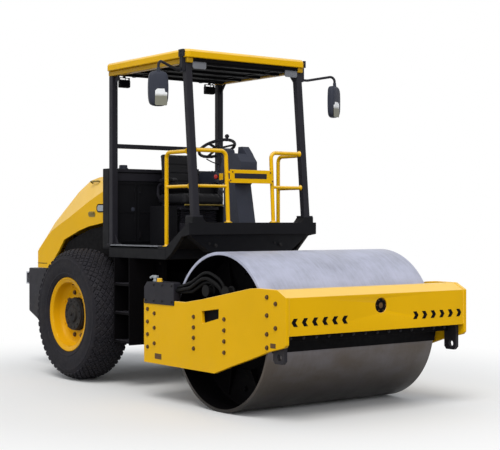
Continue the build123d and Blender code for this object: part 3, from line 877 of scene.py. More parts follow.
# %% Side plates, beams and their bolts
for node in ("left_side_plate", "right_side_plate", "front_beam", "rear_beam"):
    eased(node, YELLOW, 4)
plate_y = limits("left_side_plate")[1].y
bolt_rows = {1500: (739, 637, 534, 432), 1601: (709, 592, 467), 2159: (715, 634, 553, 471),
             2560: (721, 638, 556, 473), 3079: (911, 781, 647, 551), 3178: (869, 696)}
for side, sign in (("left", 1), ("right", -1)):
    b = bmesh.new()
    for x, heights in bolt_rows.items():
        for z in heights:
            bolt(b, (x, sign * plate_y, z), (0, sign, 0), 24)
    piece(f"{side}_plate_bolts", b, BOLT, "front_frame")
    b = bmesh.new()
    for x, z, wide, high in ((1655, 366, 96, 44), (3148, 569, 60, 34)):
        a, c = sign * plate_y, sign * (plate_y + 2)
        left, right, foot, top = x - wide / 2, x + wide / 2, z - high / 2, z + high / 2
        plate(b, [(left, foot), (right, foot), (right, top), (left, top)], "Y", a, c)
        for dx in (-wide / 2 + 6, wide / 2 - 6):
            turned(b, [(0, 0), (3, 0), (2, 2), (0, 2.6)], facing((x + dx, c, z), (0, sign, 0)), 12)
    piece(f"{side}_blank_plates", b, BOLT, "front_frame", edge=0.5)

# %% [markdown]
# The front beam's face carries a round plug in a boss, and two rows of six arrow marks
# that point out to the drum's ends. The marks are thin cut pieces on the face.

# %% Arrow marks and plug
PLUG_Z = 828
beam_low, beam_high = limits("front_beam")
b = bmesh.new()
arrow = [(-28, -29), (8, -29), (28, 0), (8, 29), (-28, 29), (-8, 0)]
for sign in (1, -1):
    for k in range(6):
        middle = sign * (360 + 94 * k)
        plate(b, [(middle + sign * y, 738 + z) for y, z in arrow], "X", beam_high.x, beam_high.x + 2)
plug = facing((beam_high.x - 6, 0, PLUG_Z), (1, 0, 0))
turned(b, [(0, 0), (30, 0), (30, 3), (24, 5), (24, 2), (0, 2)], plug, 6)
turned(b, [(0, 0), (54, 0), (54, 2), (50, 4), (38, 4), (35, 1), (0, 1)], plug, 48)
piece("beam_arrow_marks", b, DARK, "front_frame", edge=0.4)
b = bmesh.new()
turned(b, [(0, 1), (24, 1), (22, 3), (12, 3), (11, 6), (0, 6)], plug, 24)
for u, v in circle(6, 44):
    bolt(b, (beam_high.x - 3, u, PLUG_Z + v), (1, 0, 0), 9, washer=False)
piece("beam_plug_bolts", b, BOLT, "front_frame", edge=0.4)

# %% [markdown]
# A weld bead runs where the beam meets each plate. A bead is many small overlapping
# ripples, made here as a string of flat rings.

# %% Weld beads
def weld(b, start, end, radius=5, pitch=7):
    """A rippled bead along a straight joint."""
    start, end = Vector(start), Vector(end)
    run = end - start
    place = facing(start, run)
    outline = [(0, 0)]
    count = max(2, int(run.length / pitch))
    for k in range(count):
        step = run.length * k / count
        outline += [(radius * 0.78, step), (radius, step + run.length / count / 2)]
    turned(b, outline + [(radius * 0.78, run.length), (0, run.length)], place, 8)


rear_low, rear_high = limits("rear_beam")
b = bmesh.new()
for sign in (1, -1):
    y = sign * (beam_high.y - 1)
    weld(b, (beam_high.x - 1, y, beam_low.z + 6), (beam_high.x - 1, y, 908))
    weld(b, (beam_low.x + 4, y, beam_high.z - 1), (beam_high.x - 100, y, beam_high.z - 1))
    weld(b, (rear_low.x + 4, y, rear_low.z), (rear_high.x - 4, y, rear_low.z))
piece("frame_weld_beads", b, YELLOW, "front_frame")

# %% [markdown]
# The drum hangs in the frame on rubber buffers, so that its shaking stays in the drum. A
# bearing housing stands on each plate's inner face, with the buffers and two circles of
# bolts round it. Only the buffers above BUFFER_LOWEST are made.

# %% Drum supports, buffers and bolts
BUFFER_LOWEST = 380
eased("drum_supports", DARK, 3)
b = bmesh.new()
for sign in (1, -1):
    for u, v in circle(8, 335, 0.5):
        spot = (DRUM_X + u, sign * (plate_y - 30), DRUM_Z + v)
        if spot[2] > BUFFER_LOWEST:
            turned(b, [(0, 0), (46, 0), (46, 10), (38, 16), (36, 34), (38, 52), (46, 58), (46, 66), (0, 66)],
                   facing(spot, (0, -sign, 0)), 28)
piece("drum_buffers", b, RUBBER, "front_frame")
b = bmesh.new()
for sign in (1, -1):
    for inner_spot, outer_spot in zip(circle(12, 150), circle(12, 225)):
        u, v = inner_spot
        bolt(b, (DRUM_X + u, sign * 615, DRUM_Z + v), (0, -sign, 0), 15, washer=False)
        u, v = outer_spot
        bolt(b, (DRUM_X + u, sign * 850, DRUM_Z + v), (0, -sign, 0), 24)
piece("drum_support_bolts", b, BOLT, "front_frame")

# %% [markdown]
# Three hoses feed the drum's oil motor from the cover at the right plate's rear. The motor
# is hidden in the drum's end and isn't made. The hoses run between the plate and the drum's
# end, so their route keeps outside the drum's width.

# %% The motor's hoses
b = bmesh.new()
for lift, inset in ((0, 0), (42, 16), (-30, 27)):
    y = 22 - plate_y + inset
    tube(b, [(1888, y, 905 + lift / 2), (2080, y, 935 + lift), (2262, y + 12, 1030 + lift),
             (2420, y + 40, 960 + lift), (2440 + lift, y + 70, 830), (2420 + lift, -810, 800)], 13, 150)
piece("drum_motor_hoses", b, RUBBER, "front_frame")

# %% [markdown]
# The scraper in front is a bar under the beam with a blade that nearly touches the drum.
# Two rows of bolts hold it. The lugs for lashing chains hang under the beam's ends. The
# hose cover is folded sheet, with a fitting and a short pipe on its rear top beside a
# yellow filler cap.

# %% Scrapers, lugs and hose cover
eased("front_scraper", DARK, 2)
for node, soft in (("rear_scraper", 2), ("tie_down_lugs", 3), ("hose_cover", 5)):
    eased(node, BLACK, soft)
blade_high = limits("front_scraper")[1]
b = bmesh.new()
for k in range(14):
    y = -780 + 120 * k
    bolt(b, (blade_high.x, y, blade_high.z - 26), (1, 0, 0), 19)
    bolt(b, (3038, y + 30, 560), (0.97, 0, -0.2), 15)
piece("scraper_bolts", b, BLACK, "front_frame")
b = bmesh.new()
cover_low = limits("hose_cover")[0]
for x in (1480, 1600, 1720, 1860):
    for z in (812, 940):
        if z < 900 or x > 1500:
            bolt(b, (x, cover_low.y, z), (0, -1, 0), 13)
piece("hose_cover_bolts", b, IRON, "front_frame")
b = bmesh.new()
turned(b, [(0, 0), (22, 0), (22, 8), (17, 12), (17, 26), (24, 28), (24, 46), (20, 50), (0, 50)],
       facing((1520, -850, 962)), 24)
tube(b, [(1520, -850, 990), (1480, -850, 1004), (1440, -846, 990)], 10, 18, 12)
piece("cover_fitting", b, ZINC, "front_frame", edge=0.8)
b = bmesh.new()
turned(b, [(0, 0), (26, 0), (26, 6), (22, 8), (22, 24), (19, 28), (0, 28)], facing((1592, -858, 962)), 10)
piece("cover_filler_cap", b, YELLOW, "front_frame", edge=1)

# %% [markdown]
# ## Centre joint
# The two frames meet on one upright pin, and a shaft that points forward lets the drum roll
# with the ground. Two oil cylinders between the rear frame and the yoke's arms steer the
# machine. These are castings with ground faces, so the CAD shapes are kept, eased and
# painted. The pin's cap and the head get bolts, and each barrel gets two ports and a collar.

# %% Yoke, head and steering cylinders
PIN_X, PIN_TOP = 1200, 848
# The yoke and head get the darker black: painted shade under the platform.
eased("centre_yoke", SHADE_BLACK, 4)
eased("articulation_head", SHADE_BLACK, 5)
for side, sign in (("left", 1), ("right", -1)):
    eased(f"{side}_steering_barrel", BLACK, 2)
    b = bmesh.new()
    start = Vector((550, sign * 268, 560))
    along = Vector((695, sign * -38, 0)).normalized()
    for reach in (0, 345):
        port = start + along * reach
        turned(b, [(0, 34), (13, 34), (13, 48), (10, 52), (10, 60), (0, 60)], facing(port, (0, 0, 1)), 6)
    turned(b, [(38, 350), (42, 352), (42, 384), (38, 386)], facing(start, along), 32)
    piece(f"{side}_cylinder_ports", b, ZINC, f"{side}_steering_barrel", edge=0.6)
b = bmesh.new()
for u, v in circle(6, 44):
    bolt(b, (PIN_X + u, v, PIN_TOP), (0, 0, 1), 15, washer=False)
for y in (-132, 132):
    for z in (480, 620, 760, 900):
        bolt(b, (972, y, z), (1, 0, 0), 20)
piece("joint_bolts", b, IRON, "rear_frame")

# %% [markdown]
# ## Rear frame
# Behind the joint, two deep side plates run back beside the engine to a cast weight across
# the tail. The axle is a cast tube with a bulged middle where its gears sit. Cast faces are
# rougher than plate, so they get the iron finish and wider rounded edges.

# %% Chassis, axle and tail weight
# The chassis gets the shadow black: painted shade deep under the hood.
eased("chassis", DARK, 4)
eased("rear_ballast", BLACK, 12)
eased("rear_axle", IRON, 6)
eased("hood_hinges", IRON, 1.5)
b = bmesh.new()
for u, v in circle(12, 165):
    for sign in (1, -1):
        bolt(b, (u, sign * 130, AXLE_Z + v), (0, sign, 0), 15, washer=False)
for sign in (1, -1):
    for x in (-85, 85):
        bolt(b, (x, sign * 440, 680), (0, sign, 0), 22)
    for x in range(520, 1000, 110):
        bolt(b, (x, sign * 440, 1085), (0, sign, 0), 18)
        bolt(b, (x, sign * 440, 530), (0, sign, 0), 18)
    for z in (620, 760, 900):
        bolt(b, (-975, sign * 440, z), (0, sign, 0), 26)
piece("chassis_bolts", b, IRON, "rear_frame")

# %% [markdown]
# The tail weight carries a flat lamp housing on each side, with two round red lenses, and a
# pair of plugs low down.

# %% Tail lamps
TAIL_LAMP_Y, TAIL_LAMP_Z = 350, 880
tail_low = limits("rear_ballast")[0]
b = bmesh.new()
for sign in (1, -1):
    lamp_place = facing((tail_low.x - 1, sign * TAIL_LAMP_Y, TAIL_LAMP_Z), (-1, 0, 0))
    bar(b, (-30, 30), (-70, 70), (0, 9), lamp_place)
    for dy in (-300, 300):
        turned(b, [(0, 0), (34, 0), (34, 5), (22, 7), (0, 7)], facing((tail_low.x, dy, 640), (-1, 0, 0)), 24)
piece("tail_lamp_housings", b, PLASTIC, "rear_frame", edge=3)
b = bmesh.new()
for sign in (1, -1):
    for dy in (-34, 34):
        spot = facing((tail_low.x - 10, sign * TAIL_LAMP_Y + dy, TAIL_LAMP_Z), (-1, 0, 0))
        turned(b, [(0, 0), (24, 0), (24, 3), (16, 7), (0, 9)], spot, 28)
piece("tail_lamp_lenses", b, RED, "rear_frame")

# %% [markdown]
# Under the hood sits a four-cylinder diesel. Only glimpses of it show through the wheel
# arch and the open front, but a plain block would show too. So it gets a sump, a head with
# a finned cover, a manifold, belt wheels, a fan and a radiator at the tail.

# %% Engine
engine_low, engine_high = limits("engine_block")
b = bmesh.new()
bar(b, (-560, 40), (-190, 190), (engine_low.z + 40, 1120))
plate(b, [(-540, 870), (20, 870), (20, 840), (-60, 831), (-480, 831), (-540, 845)], "Y", -160, 160)
bar(b, (-540, 20), (-150, 150), (1120, 1200))
bar(b, (-520, 0), (-95, 95), (1200, 1240))
for k in range(10):
    x = -500 + 52 * k
    bar(b, (x, x + 14), (-88, 88), (1240, 1262))
for k in range(4):
    x = -460 + 130 * k
    tube(b, [(x, -150, 1160), (x, -215, 1160), (x, -240, 1130)], 24, 30)
    tube(b, [(x, 150, 1160), (x, 235, 1175)], 22, 30)
tube(b, [(-500, -245, 1120), (-20, -245, 1120)], 34, 30)
tube(b, [(-500, 245, 1180), (-40, 245, 1180), (20, 245, 1240), (60, 200, 1290)], 32, 60)
turned(b, [(0, 0), (95, 0), (95, 230), (80, 250), (0, 250)], facing((-380, 130, 1205), (1, 0, 0.12)), 36)
for radius, y, z in ((120, 0, 900), (70, -120, 1040), (55, 130, 1060)):
    turned(b, [(0, 0), (radius, 0), (radius - 8, 12), (radius, 24), (radius, 34), (0, 34)],
           facing((-600, y, z), (1, 0, 0)), 40)
piece("engine_castings", b, IRON, "rear_frame", ["engine_block"], edge=4)
b = bmesh.new()
bar(b, (-850, -790), (-300, 300), (engine_low.z, engine_high.z))
for k in range(26):
    z = engine_low.z + 12 + 18 * k
    bar(b, (-856, -784), (-284, 284), (z, z + 5))
for k in range(7):
    blade = facing((-690, 0, 1070), (1, 0, 0)) @ Matrix.Rotation(math.tau * k / 7, 4, "Z")
    plate(b, [(40, -24), (215, -52), (225, 40), (40, 20)], "Z", -3, 3, blade @ Matrix.Rotation(0.45, 4, "X"))
turned(b, [(0, -20), (52, -20), (52, 20), (0, 30)], facing((-690, 0, 1070), (1, 0, 0)), 24)
piece("radiator_and_fan", b, DARK, "rear_frame", edge=1)

# %% [markdown]
# ## Hood
# The hood is one moulded shell hinged behind the platform. Its side stands upright to a
# shoulder, then leans in to the roof. The edges are eased wide, because moulded glass fibre
# can't hold a sharp corner. A dark seam runs low down at the tail, and louvres on the slope
# and on the tail let the radiator's air through.

# %% Hood shell, seam and louvres
eased("hood_shell", YELLOW, 9)
hood_low, hood_high = limits("hood_shell")
b = bmesh.new()
for sign in (1, -1):
    y = sign * (hood_high.y + 0.5)
    bar(b, (hood_low.x - 1, -1072), (y - 1.5, y + 1.5), (1029, 1035))
bar(b, (hood_low.x - 1.5, hood_low.x + 1), (-hood_high.y, hood_high.y), (1029, 1035))
piece("hood_seam", b, DARK, "hood", edge=0.8)
b = bmesh.new()
slope = Vector((352, 0, 303)).normalized()
lean = slope.to_track_quat("X", "Z").to_matrix().to_4x4()
lowest = Vector((-945, 0, 1482))
for k in range(15):
    bar(b, (-9, 9), (-255, 255), (-2, 7), Matrix.Translation(lowest + slope * 27 * k) @ lean)
tilt = Matrix.Translation(lowest + slope * 189) @ lean
for low, high in ((-222, -206), (206, 222)):
    bar(b, (low, high), (-280, 280), (-2, 9), tilt)
for sign in (1, -1):
    bar(b, (-222, 222), (sign * 270 - 8, sign * 270 + 8), (-2, 9), tilt)
piece("hood_top_louvres", b, BLACK, "hood", edge=1.5)
b = bmesh.new()
for k in range(5):
    z = 1052 + 17 * k
    bar(b, (hood_low.x - 6, hood_low.x + 1), (-330, 330), (z, z + 9))
for y in (-342, -110, 110, 342):
    bar(b, (hood_low.x - 8, hood_low.x + 1), (y - 7, y + 7), (1044, 1136))
for z in (1040, 1134):
    bar(b, (hood_low.x - 8, hood_low.x + 1), (-349, 349), (z, z + 8))
piece("hood_tail_grille", b, BLACK, "hood", edge=1.2)
print("hood runs from", round(hood_low.x), "to", round(hood_high.x), "mm")

# %% [markdown]
# Each side of the hood carries a pressed pull handle, a grab bar on the slope above it and a
# plain plate where a badge would sit. The plate has a thin raised rim and nothing on it.

# %% Hood handles, grab bars and blank badges
SLOPE_Y, SLOPE_Z = 392, 1820


def clipped(x, z, wide, high):
    """The outline of a plate round a middle, with its corners cut off."""
    corner = high * 0.3
    rear, front, foot, top = x - wide / 2, x + wide / 2, z - high / 2, z + high / 2
    return [(rear, foot + corner), (rear + corner, foot), (front - corner, foot), (front, foot + corner),
            (front, top - corner), (front - corner, top), (rear + corner, top), (rear, top - corner)]


b, badge, grips = bmesh.new(), bmesh.new(), bmesh.new()
for sign in (1, -1):
    y = sign * hood_high.y
    for cut, x, z, wide, high, lift in ((badge, 0, 1575, 176, 78, 3), (b, 4, 1575, 152, 56, 5),
                                        (grips, -176, 1520, 124, 50, 5)):
        plate(cut, clipped(x, z, wide, high), "Y", y, y + sign * lift)
    bar(grips, (-222, -130), (y, y + sign * 16), (1526, 1536))
    out_y, out_z = sign * (SLOPE_Y + 24), SLOPE_Z + 12
    tube(grips, [(-300, sign * (SLOPE_Y - 6), SLOPE_Z - 4), (-300, out_y, out_z), (-150, out_y, out_z),
                 (-150, sign * (SLOPE_Y - 2), SLOPE_Z + 6)], 8, 20, 12)
piece("hood_badge_rims", badge, DARK, "hood", edge=0.8)
piece("hood_blank_badges", b, ZINC, "hood", edge=0.8)
piece("hood_grips", grips, OLIVE, "hood", edge=1)

# %% [markdown]
# ## Tank and platform
# The wall behind the operator is a fuel and oil tank as wide as the platform. Its front is
# plain plate with four doors: each is a thin raised panel with a stiffening frame. Upright
# hinge pins stand at four of the doors' edges, and three doors have a latch. Two rails cross
# the wall above the doors, and two caps stand on its top.

# %% Tank wall
# The tank wall and its doors get the darker black: painted shade under the roof.
eased("rear_tank", SHADE_BLACK, 6)
tank_high = limits("rear_tank")[1]
DOOR_FOOT, DOOR_MIDDLE, DOOR_TOP = 1262, 1530, 1806
b = bmesh.new()
x = tank_high.x
for y0, y1 in ((-600, -330), (-310, -40), (-20, 270), (290, 600)):
    bar(b, (x, x + 4), (y0, y1), (DOOR_FOOT, DOOR_TOP))
    for edge in (y0, y1 - 16):
        bar(b, (x + 4, x + 10), (edge, edge + 16), (DOOR_FOOT, DOOR_TOP))
    for z in (DOOR_FOOT, DOOR_MIDDLE, DOOR_TOP - 16):
        bar(b, (x + 4, x + 10), (y0 + 16, y1 - 16), (z, z + 16))
for y in (-585, -290, 300, 585):
    for z in (1330, 1740):
        turned(b, [(0, -26), (8, -26), (8, 26), (0, 26)], facing((x + 12, y, z)), 14)
piece("tank_doors", b, SHADE_BLACK, "rear_frame", edge=1.5)
b = bmesh.new()
bar(b, (x - 2, x + 8), (-606, 606), (DOOR_TOP + 14, 1888))
bar(b, (x - 4, x + 14), (-612, 612), (1900, 1930))
piece("tank_top_rails", b, BLACK, "rear_frame", edge=2)
b = bmesh.new()
for y in (-350, -60, 250):
    spot = facing((x + 4, y - 12, 1560), (1, 0, 0))
    turned(b, [(0, 0), (20, 0), (20, 4), (15, 6), (0, 6)], spot, 24)
    bar(b, (-4, 4), (-16, 16), (6, 11), spot)
cap = [(0, 0), (44, 0), (44, 8), (38, 12), (38, 30), (34, 36), (0, 36)]
turned(b, cap, facing((324, -430, tank_high.z)), 36)
turned(b, [(0, 0), (26, 0), (26, 18), (0, 22)], facing((324, 380, tank_high.z)), 24)
piece("tank_latches_and_caps", b, PLASTIC, "rear_frame", edge=1)

# %% [markdown]
# The floor is checker plate: raised lozenges, each at right angles to the next, keep boots
# from slipping. They are real bumps in the mesh and not a picture, because the floor is
# seen edge-on through the entrances.

# %% Checker floor
# The platform gets the darker black: painted shade under the roof and between the posts.
eased("platform_floor", SHADE_BLACK, 3)
eased("platform_frame", SHADE_BLACK, 4)
eased("platform_front", SHADE_BLACK, 5)
floor_low, floor_high = limits("platform_floor")
b = bmesh.new()
pitch = 34
for i in range(int((floor_high.x - floor_low.x - 20) / pitch)):
    for j in range(int((floor_high.y - floor_low.y - 90) / pitch)):
        spot = (floor_low.x + 24 + pitch * i, floor_low.y + 60 + pitch * j, floor_high.z)
        place = Matrix.Translation(spot) @ Matrix.Rotation(math.radians(45 if (i + j) % 2 else -45), 4, "Z")
        low = [(-15, 0), (0, -4), (15, 0), (0, 4)]
        ring = [b.verts.new(place @ Vector((u, v, 0))) for u, v in low]
        top = [b.verts.new(place @ Vector((u * 0.7, v * 0.4, 1.8))) for u, v in low]
        b.faces.new(top)
        for k in range(4):
            b.faces.new((ring[k], ring[(k + 1) % 4], top[(k + 1) % 4], top[k]))
piece("floor_checker_pattern", b, SHADE_BLACK, "rear_frame", sharp=10)

# %% [markdown]
# A grey sill strip guards each entrance. Two rows of small raised rings on it give grip.

# %% Entrance sills
SILL_REAR, SILL_FRONT, SILL_PITCH = 500, 1278, 26
b = bmesh.new()
for sign in (1, -1):
    edge_y = sign * floor_high.y
    inner_y = sign * (floor_high.y - 62)
    bar(b, (SILL_REAR, SILL_FRONT), tuple(sorted((edge_y, inner_y))), (floor_high.z, floor_high.z + 5))
    skirt = tuple(sorted((edge_y, edge_y - sign * 4)))
    bar(b, (SILL_REAR, SILL_FRONT), skirt, (floor_high.z - 18, floor_high.z))
    for k in range(30):
        x = SILL_REAR + 12 + SILL_PITCH * k
        for dy in (16, 40):
            ring = facing((x, edge_y - sign * dy, floor_high.z + 5))
            turned(b, [(9, 0), (9, 2.5), (5.5, 2.5), (5.5, 0)], ring, 10)
piece("entrance_sills", b, GREY, "rear_frame", edge=0.6)

# %% [markdown]
# The platform's front beam rides on two rubber mounts, each with a large and a small bolt
# on the beam's face. Four bolts beside each post hold the beam's top.

# %% Rubber mounts
MOUNT_Y = (-371, 315)
front_high = limits("platform_front")[1]
b = bmesh.new()
for y in MOUNT_Y:
    for z, radius in ((1222, 40), (1206, 34)):
        turned(b, [(0, 0), (radius, 0), (radius, 12), (0, 12)], facing((1650, y, z)), 28)
piece("rubber_mounts", b, RUBBER, "rear_frame", edge=1)
b = bmesh.new()
for y in MOUNT_Y:
    bolt(b, (1690, y, 1250), (1, 0, 0), 26)
    bolt(b, (1690, y - 62, 1268), (1, 0, 0), 15)
for y in (-585, 585):
    for x in (1662, 1722):
        bolt(b, (x, y - 42, front_high.z), (0, 0, 1), 15)
        bolt(b, (x, y + 42, front_high.z), (0, 0, 1), 15)
piece("mount_bolts", b, IRON, "rear_frame")

# %% [markdown]
# Three steps lead up on each side. Each has a row of saw teeth along both edges and raised
# rings on its tread, so that a muddy boot doesn't slip.

# %% Steps
TREAD_TOPS = (412, 660, 910)
# The steps get the shadow black: painted shade between the tyre and the front frame.
eased("steps", DARK, 2.5)
b = bmesh.new()
for sign in (1, -1):
    for z in TREAD_TOPS:
        for k in range(14):
            x = 662 + 16.5 * k
            for y in (548, 712):
                plate(b, [(x, z - 1), (x + 12, z - 1), (x + 6, z + 8)], "Y", sign * (y - 3), sign * (y + 3))
        for k in range(6):
            for y in (585, 630, 675):
                turned(b, [(14, 0), (14, 4), (9, 4), (9, 0)], facing((684 + 34.5 * k, sign * y, z)), 16)
piece("step_teeth", b, BLACK, "rear_frame")

# %% [markdown]
# ## Seat
# The seat is vinyl over foam. The foam pushes the cover out between its seams, and a cloth simulation makes
# that shape: a slightly smaller block is filled with pressure, and every point may move only a little.

# %% Foam under a cover
def bake(ob):
    """Replaces a piece's mesh by what its modifiers make of it."""
    shape = bpy.data.meshes.new_from_object(ob.evaluated_get(bpy.context.evaluated_depsgraph_get()))
    ob.modifiers.clear()
    ob.data = shape


def swollen(name, node, most, shrink, pitch=0.006):
    """Foam under vinyl: the CAD block, a little smaller, blown up by a cloth simulation."""
    source = frame["nodes"][node]
    low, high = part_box(node)
    middle = (low + high) / 2
    mesh = source.data.copy()
    for v in mesh.vertices:
        v.co = middle + Vector([d * (1 - 2 * shrink / s) for d, s in zip(v.co - middle, high - low)])
    ob = bpy.data.objects.new(name, mesh)
    scene.collection.objects.link(ob)
    bpy.context.view_layer.objects.active = ob
    remesh = ob.modifiers.new("even_mesh", "REMESH")
    remesh.mode = "VOXEL"
    remesh.voxel_size = pitch
    bake(ob)
    start = [v.co.copy() for v in ob.data.vertices]
    cloth = ob.modifiers.new("cover", "CLOTH")
    cloth.settings.use_pressure = True
    cloth.settings.uniform_pressure_force = 4
    cloth.settings.effector_weights.gravity = 0
    for step in range(1, 21):
        scene.frame_set(step)
    bake(ob)
    scene.frame_set(1)
    for v, before in zip(ob.data.vertices, start):
        move = v.co - before
        if move.length > most:
            v.co = before + move * (most / move.length)
    return ob


print("the foam can be blown up")

# %% [markdown]
# The sewn channels are sunk into the swollen mesh afterwards. Three run across the middle
# of each cushion and two run along it, and the foam is smoothed once more at the end.

# %% Cushion and backrest
MOST, SEAM = 0.012, 0.012


def channel(ob, where, width, depth, way):
    """Sinks a sewn line into the cover: where(point) is the distance from the line."""
    for v in ob.data.vertices:
        d = where(v.co)
        if abs(d) < width:
            v.co += Vector(way) * depth * (0.5 + 0.5 * math.cos(math.pi * d / width)) ** 2


def upholster(ob, node, most):
    smooth = ob.modifiers.new("one_subdivision", "SUBSURF")
    smooth.levels = smooth.render_levels = 1
    bake(ob)
    fitted(ob, VINYL, "rear_frame", [node], sharp=75)
    print(ob.name, len(ob.data.polygons), "faces, swollen by up to", most * 1000, "mm")


cushion = swollen("seat_cushion_vinyl", "seat_cushion", MOST, 0.01)
low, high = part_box("seat_cushion")
top, centre = high.z - 0.04, (low.y + high.y) / 2
for part in (0.3, 0.5, 0.7):
    line = low.x + (high.x - low.x) * part
    channel(cushion, lambda p: p.x - line if p.z > top and abs(p.y - centre) < 0.16 else 1,
            SEAM, 0.008, (0, 0, -1))
for aside in (-0.165, 0.165):
    line = centre + aside
    channel(cushion, lambda p: p.y - line if p.z > top else 1, SEAM, 0.009, (0, 0, -1))
upholster(cushion, "seat_cushion", MOST)
backrest = swollen("seat_back_vinyl", "seat_back", MOST, 0.01)
low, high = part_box("seat_back")
front, centre = (low.x + high.x) / 2, (low.y + high.y) / 2
for part in (0.3, 0.5, 0.7):
    line = low.z + (high.z - low.z) * part
    channel(backrest, lambda p: p.z - line if p.x > front and abs(p.y - centre) < 0.15 else 1,
            SEAM, 0.008, (-1, 0, 0))
for aside in (-0.155, 0.155):
    line = centre + aside
    channel(backrest, lambda p: p.y - line if p.x > front else 1, SEAM, 0.008, (-1, 0, 0))
upholster(backrest, "seat_back", MOST)

# %% [markdown]
# Under the cushion, the seat stands on a steel box with a folded rubber skirt that hides
# its springs, and on two slide rails. The skirt is one outline with many folds, turned
# square instead of round.

# %% Seat base
base_low, base_high = limits("seat_base")
middle_x, middle_y = (base_low.x + base_high.x) / 2, (base_low.y + base_high.y) / 2
b = bmesh.new()
bar(b, (base_low.x, base_high.x), (base_low.y, base_high.y), (base_low.z, 1440))
half_x, half_y = (base_high.x - base_low.x) / 2, (base_high.y - base_low.y) / 2
corners = [(-1, -1), (1, -1), (1, 1), (-1, 1)]
rings = []
for k in range(13):
    pull = 8 if k % 2 else 24
    fold = [(middle_x + u * (half_x - pull), middle_y + v * (half_y - pull)) for u, v in corners]
    rings.append([b.verts.new((x, y, 1440 + 9.5 * k)) for x, y in fold])
for first, second in zip(rings, rings[1:]):
    for i in range(4):
        b.faces.new((first[i], first[(i + 1) % 4], second[(i + 1) % 4], second[i]))
b.faces.new(rings[0])
b.faces.new(rings[-1])
bar(b, (base_low.x, base_high.x), (base_low.y, base_high.y), (1556, 1580))
for sign in (1, -1):
    y = middle_y + sign * 150
    bar(b, (base_low.x + 10, base_high.x), (y - 16, y + 16), (1580, 1599))
piece("seat_base_and_skirt", b, BLACK, "rear_frame", ["seat_base"], edge=2)

# %% [markdown]
# Round the seat go a bent adjusting bar in front, a frame tube on both sides, a padded
# armrest on the right and a box with a knob and three buttons on the left. A straight
# yellow-olive bar crosses in front of it all.

# %% Seat frame, armrest and pod
b = bmesh.new()
tube(b, [(base_high.x - 10, middle_y - 100, 1588), (base_high.x + 60, middle_y - 100, 1584),
         (base_high.x + 60, middle_y + 100, 1584), (base_high.x - 10, middle_y + 100, 1588)], 6, 30, 10)
rear = base_low.x
for sign in (1, -1):
    y = middle_y + sign * 205
    side_y = y + sign * 16
    tube(b, [(rear + 40, y - sign * 8, 1640), (rear + 30, side_y, 1700), (rear + 40, side_y, 1775),
             (rear + 110, side_y, 1796), (rear + 290, side_y, 1796)], 13, 40, 12)
piece("seat_frame_tubes", b, BLACK, "rear_frame")
b = bmesh.new()
y = middle_y - 226
rest = [(95, 1808), (100, 1832), (150, 1846), (300, 1842), (335, 1826), (330, 1808)]
plate(b, [(rear + x, z) for x, z in rest], "Y", y - 24, y + 24)
piece("seat_armrest", b, VINYL, "rear_frame", edge=8)
b = bmesh.new()
y = middle_y + 258
pod = [(50, 1812), (44, 1880), (62, 1908), (150, 1914), (310, 1908), (350, 1890), (356, 1850), (330, 1808),
       (80, 1803)]
plate(b, [(rear + x, z) for x, z in pod], "Y", y - 38, y + 38)
for x in (150, 200, 250):
    turned(b, [(0, 0), (13, 0), (13, 4), (11, 8), (0, 8)], facing((rear + x, y + 10, 1911)), 24)
knob = [(0, 0), (17, 0), (15, 8), (7, 12), (6, 48), (15, 58), (17, 76), (12, 90), (0, 93)]
turned(b, knob, facing((rear + 305, y, 1908)), 24)
piece("seat_control_pod", b, PLASTIC, "rear_frame", edge=6)
b = bmesh.new()
# The bar's dull yellow is partly painted shade under the cushion's front edge.
tube(b, [(base_high.x + 96, middle_y - 228, 1598), (base_high.x + 96, middle_y + 205, 1598)], 7, 30, 12)
piece("seat_adjuster_bar", b, OLIVE, "rear_frame")

# %% [markdown]
# ## Console and wheel
# The console is a moulded column between the operator's feet and the front beam. It widens
# into a hump that carries the gauges and the steering wheel. Round gauges have a bezel, a
# pale face with ticks and a needle. A red stop button on a yellow plate sits on its right,
# where it can be hit from the ground.

# %% Console, gauges and stop button
eased("console", PLASTIC, 12)
con_low, con_high = limits("console")
con_y = (con_low.y + con_high.y) / 2
panel_foot = Vector((1330, con_y, 1920))
panel = Vector((40, 0, 125)).normalized()
out = Vector((-panel.z, 0, panel.x))
b, dial, tick = bmesh.new(), bmesh.new(), bmesh.new()
for along, side, radius in ((74, 34, 34), (82, -38, 20), (34, -38, 20), (24, 40, 13), (24, 8, 13)):
    spot = panel_foot + Vector((0, side, 0)) + panel * along
    bezel = [(radius, -2), (radius + 5, -2), (radius + 5, 5), (radius + 2, 8), (radius, 6)]
    turned(b, bezel, facing(spot, out), 36)
    turned(dial, [(0, -2), (radius, -2), (radius, 2), (0, 2)], facing(spot, out), 36)
    for n in range(9):
        a = math.radians(-130 + 260 * n / 8)
        mark = facing(spot, out) @ Matrix.Rotation(a, 4, "Z")
        bar(tick, (radius * 0.7, radius * 0.88), (-0.7, 0.7), (2, 2.6), mark)
    bar(tick, (0, radius * 0.72), (-1, 1), (2.6, 3.4), facing(spot, out) @ Matrix.Rotation(0.7, 4, "Z"))
bar(b, (1282, 1400), (con_low.y - 18, con_low.y + 24), (1800, 1876))
tube(b, [(1310, con_low.y, 1802), (1316, con_low.y, 1740), (1386, con_low.y + 12, 1690)], 9, 30, 10)
piece("console_bezels", b, PLASTIC, "rear_frame", edge=1.5)
piece("gauge_faces", dial, GREY, "rear_frame")
piece("gauge_ticks", tick, DARK, "rear_frame")
b = bmesh.new()
bar(b, (1338, 1394), (con_low.y - 21, con_low.y - 18), (1810, 1866))
piece("stop_button_plate", b, YELLOW, "rear_frame", edge=1)
b = bmesh.new()
turned(b, [(0, 0), (9, 0), (9, 10), (19, 14), (21, 20), (19, 26), (10, 30), (0, 31)],
       facing((1312, con_low.y - 18, 1838), (0, -1, 0)), 32)
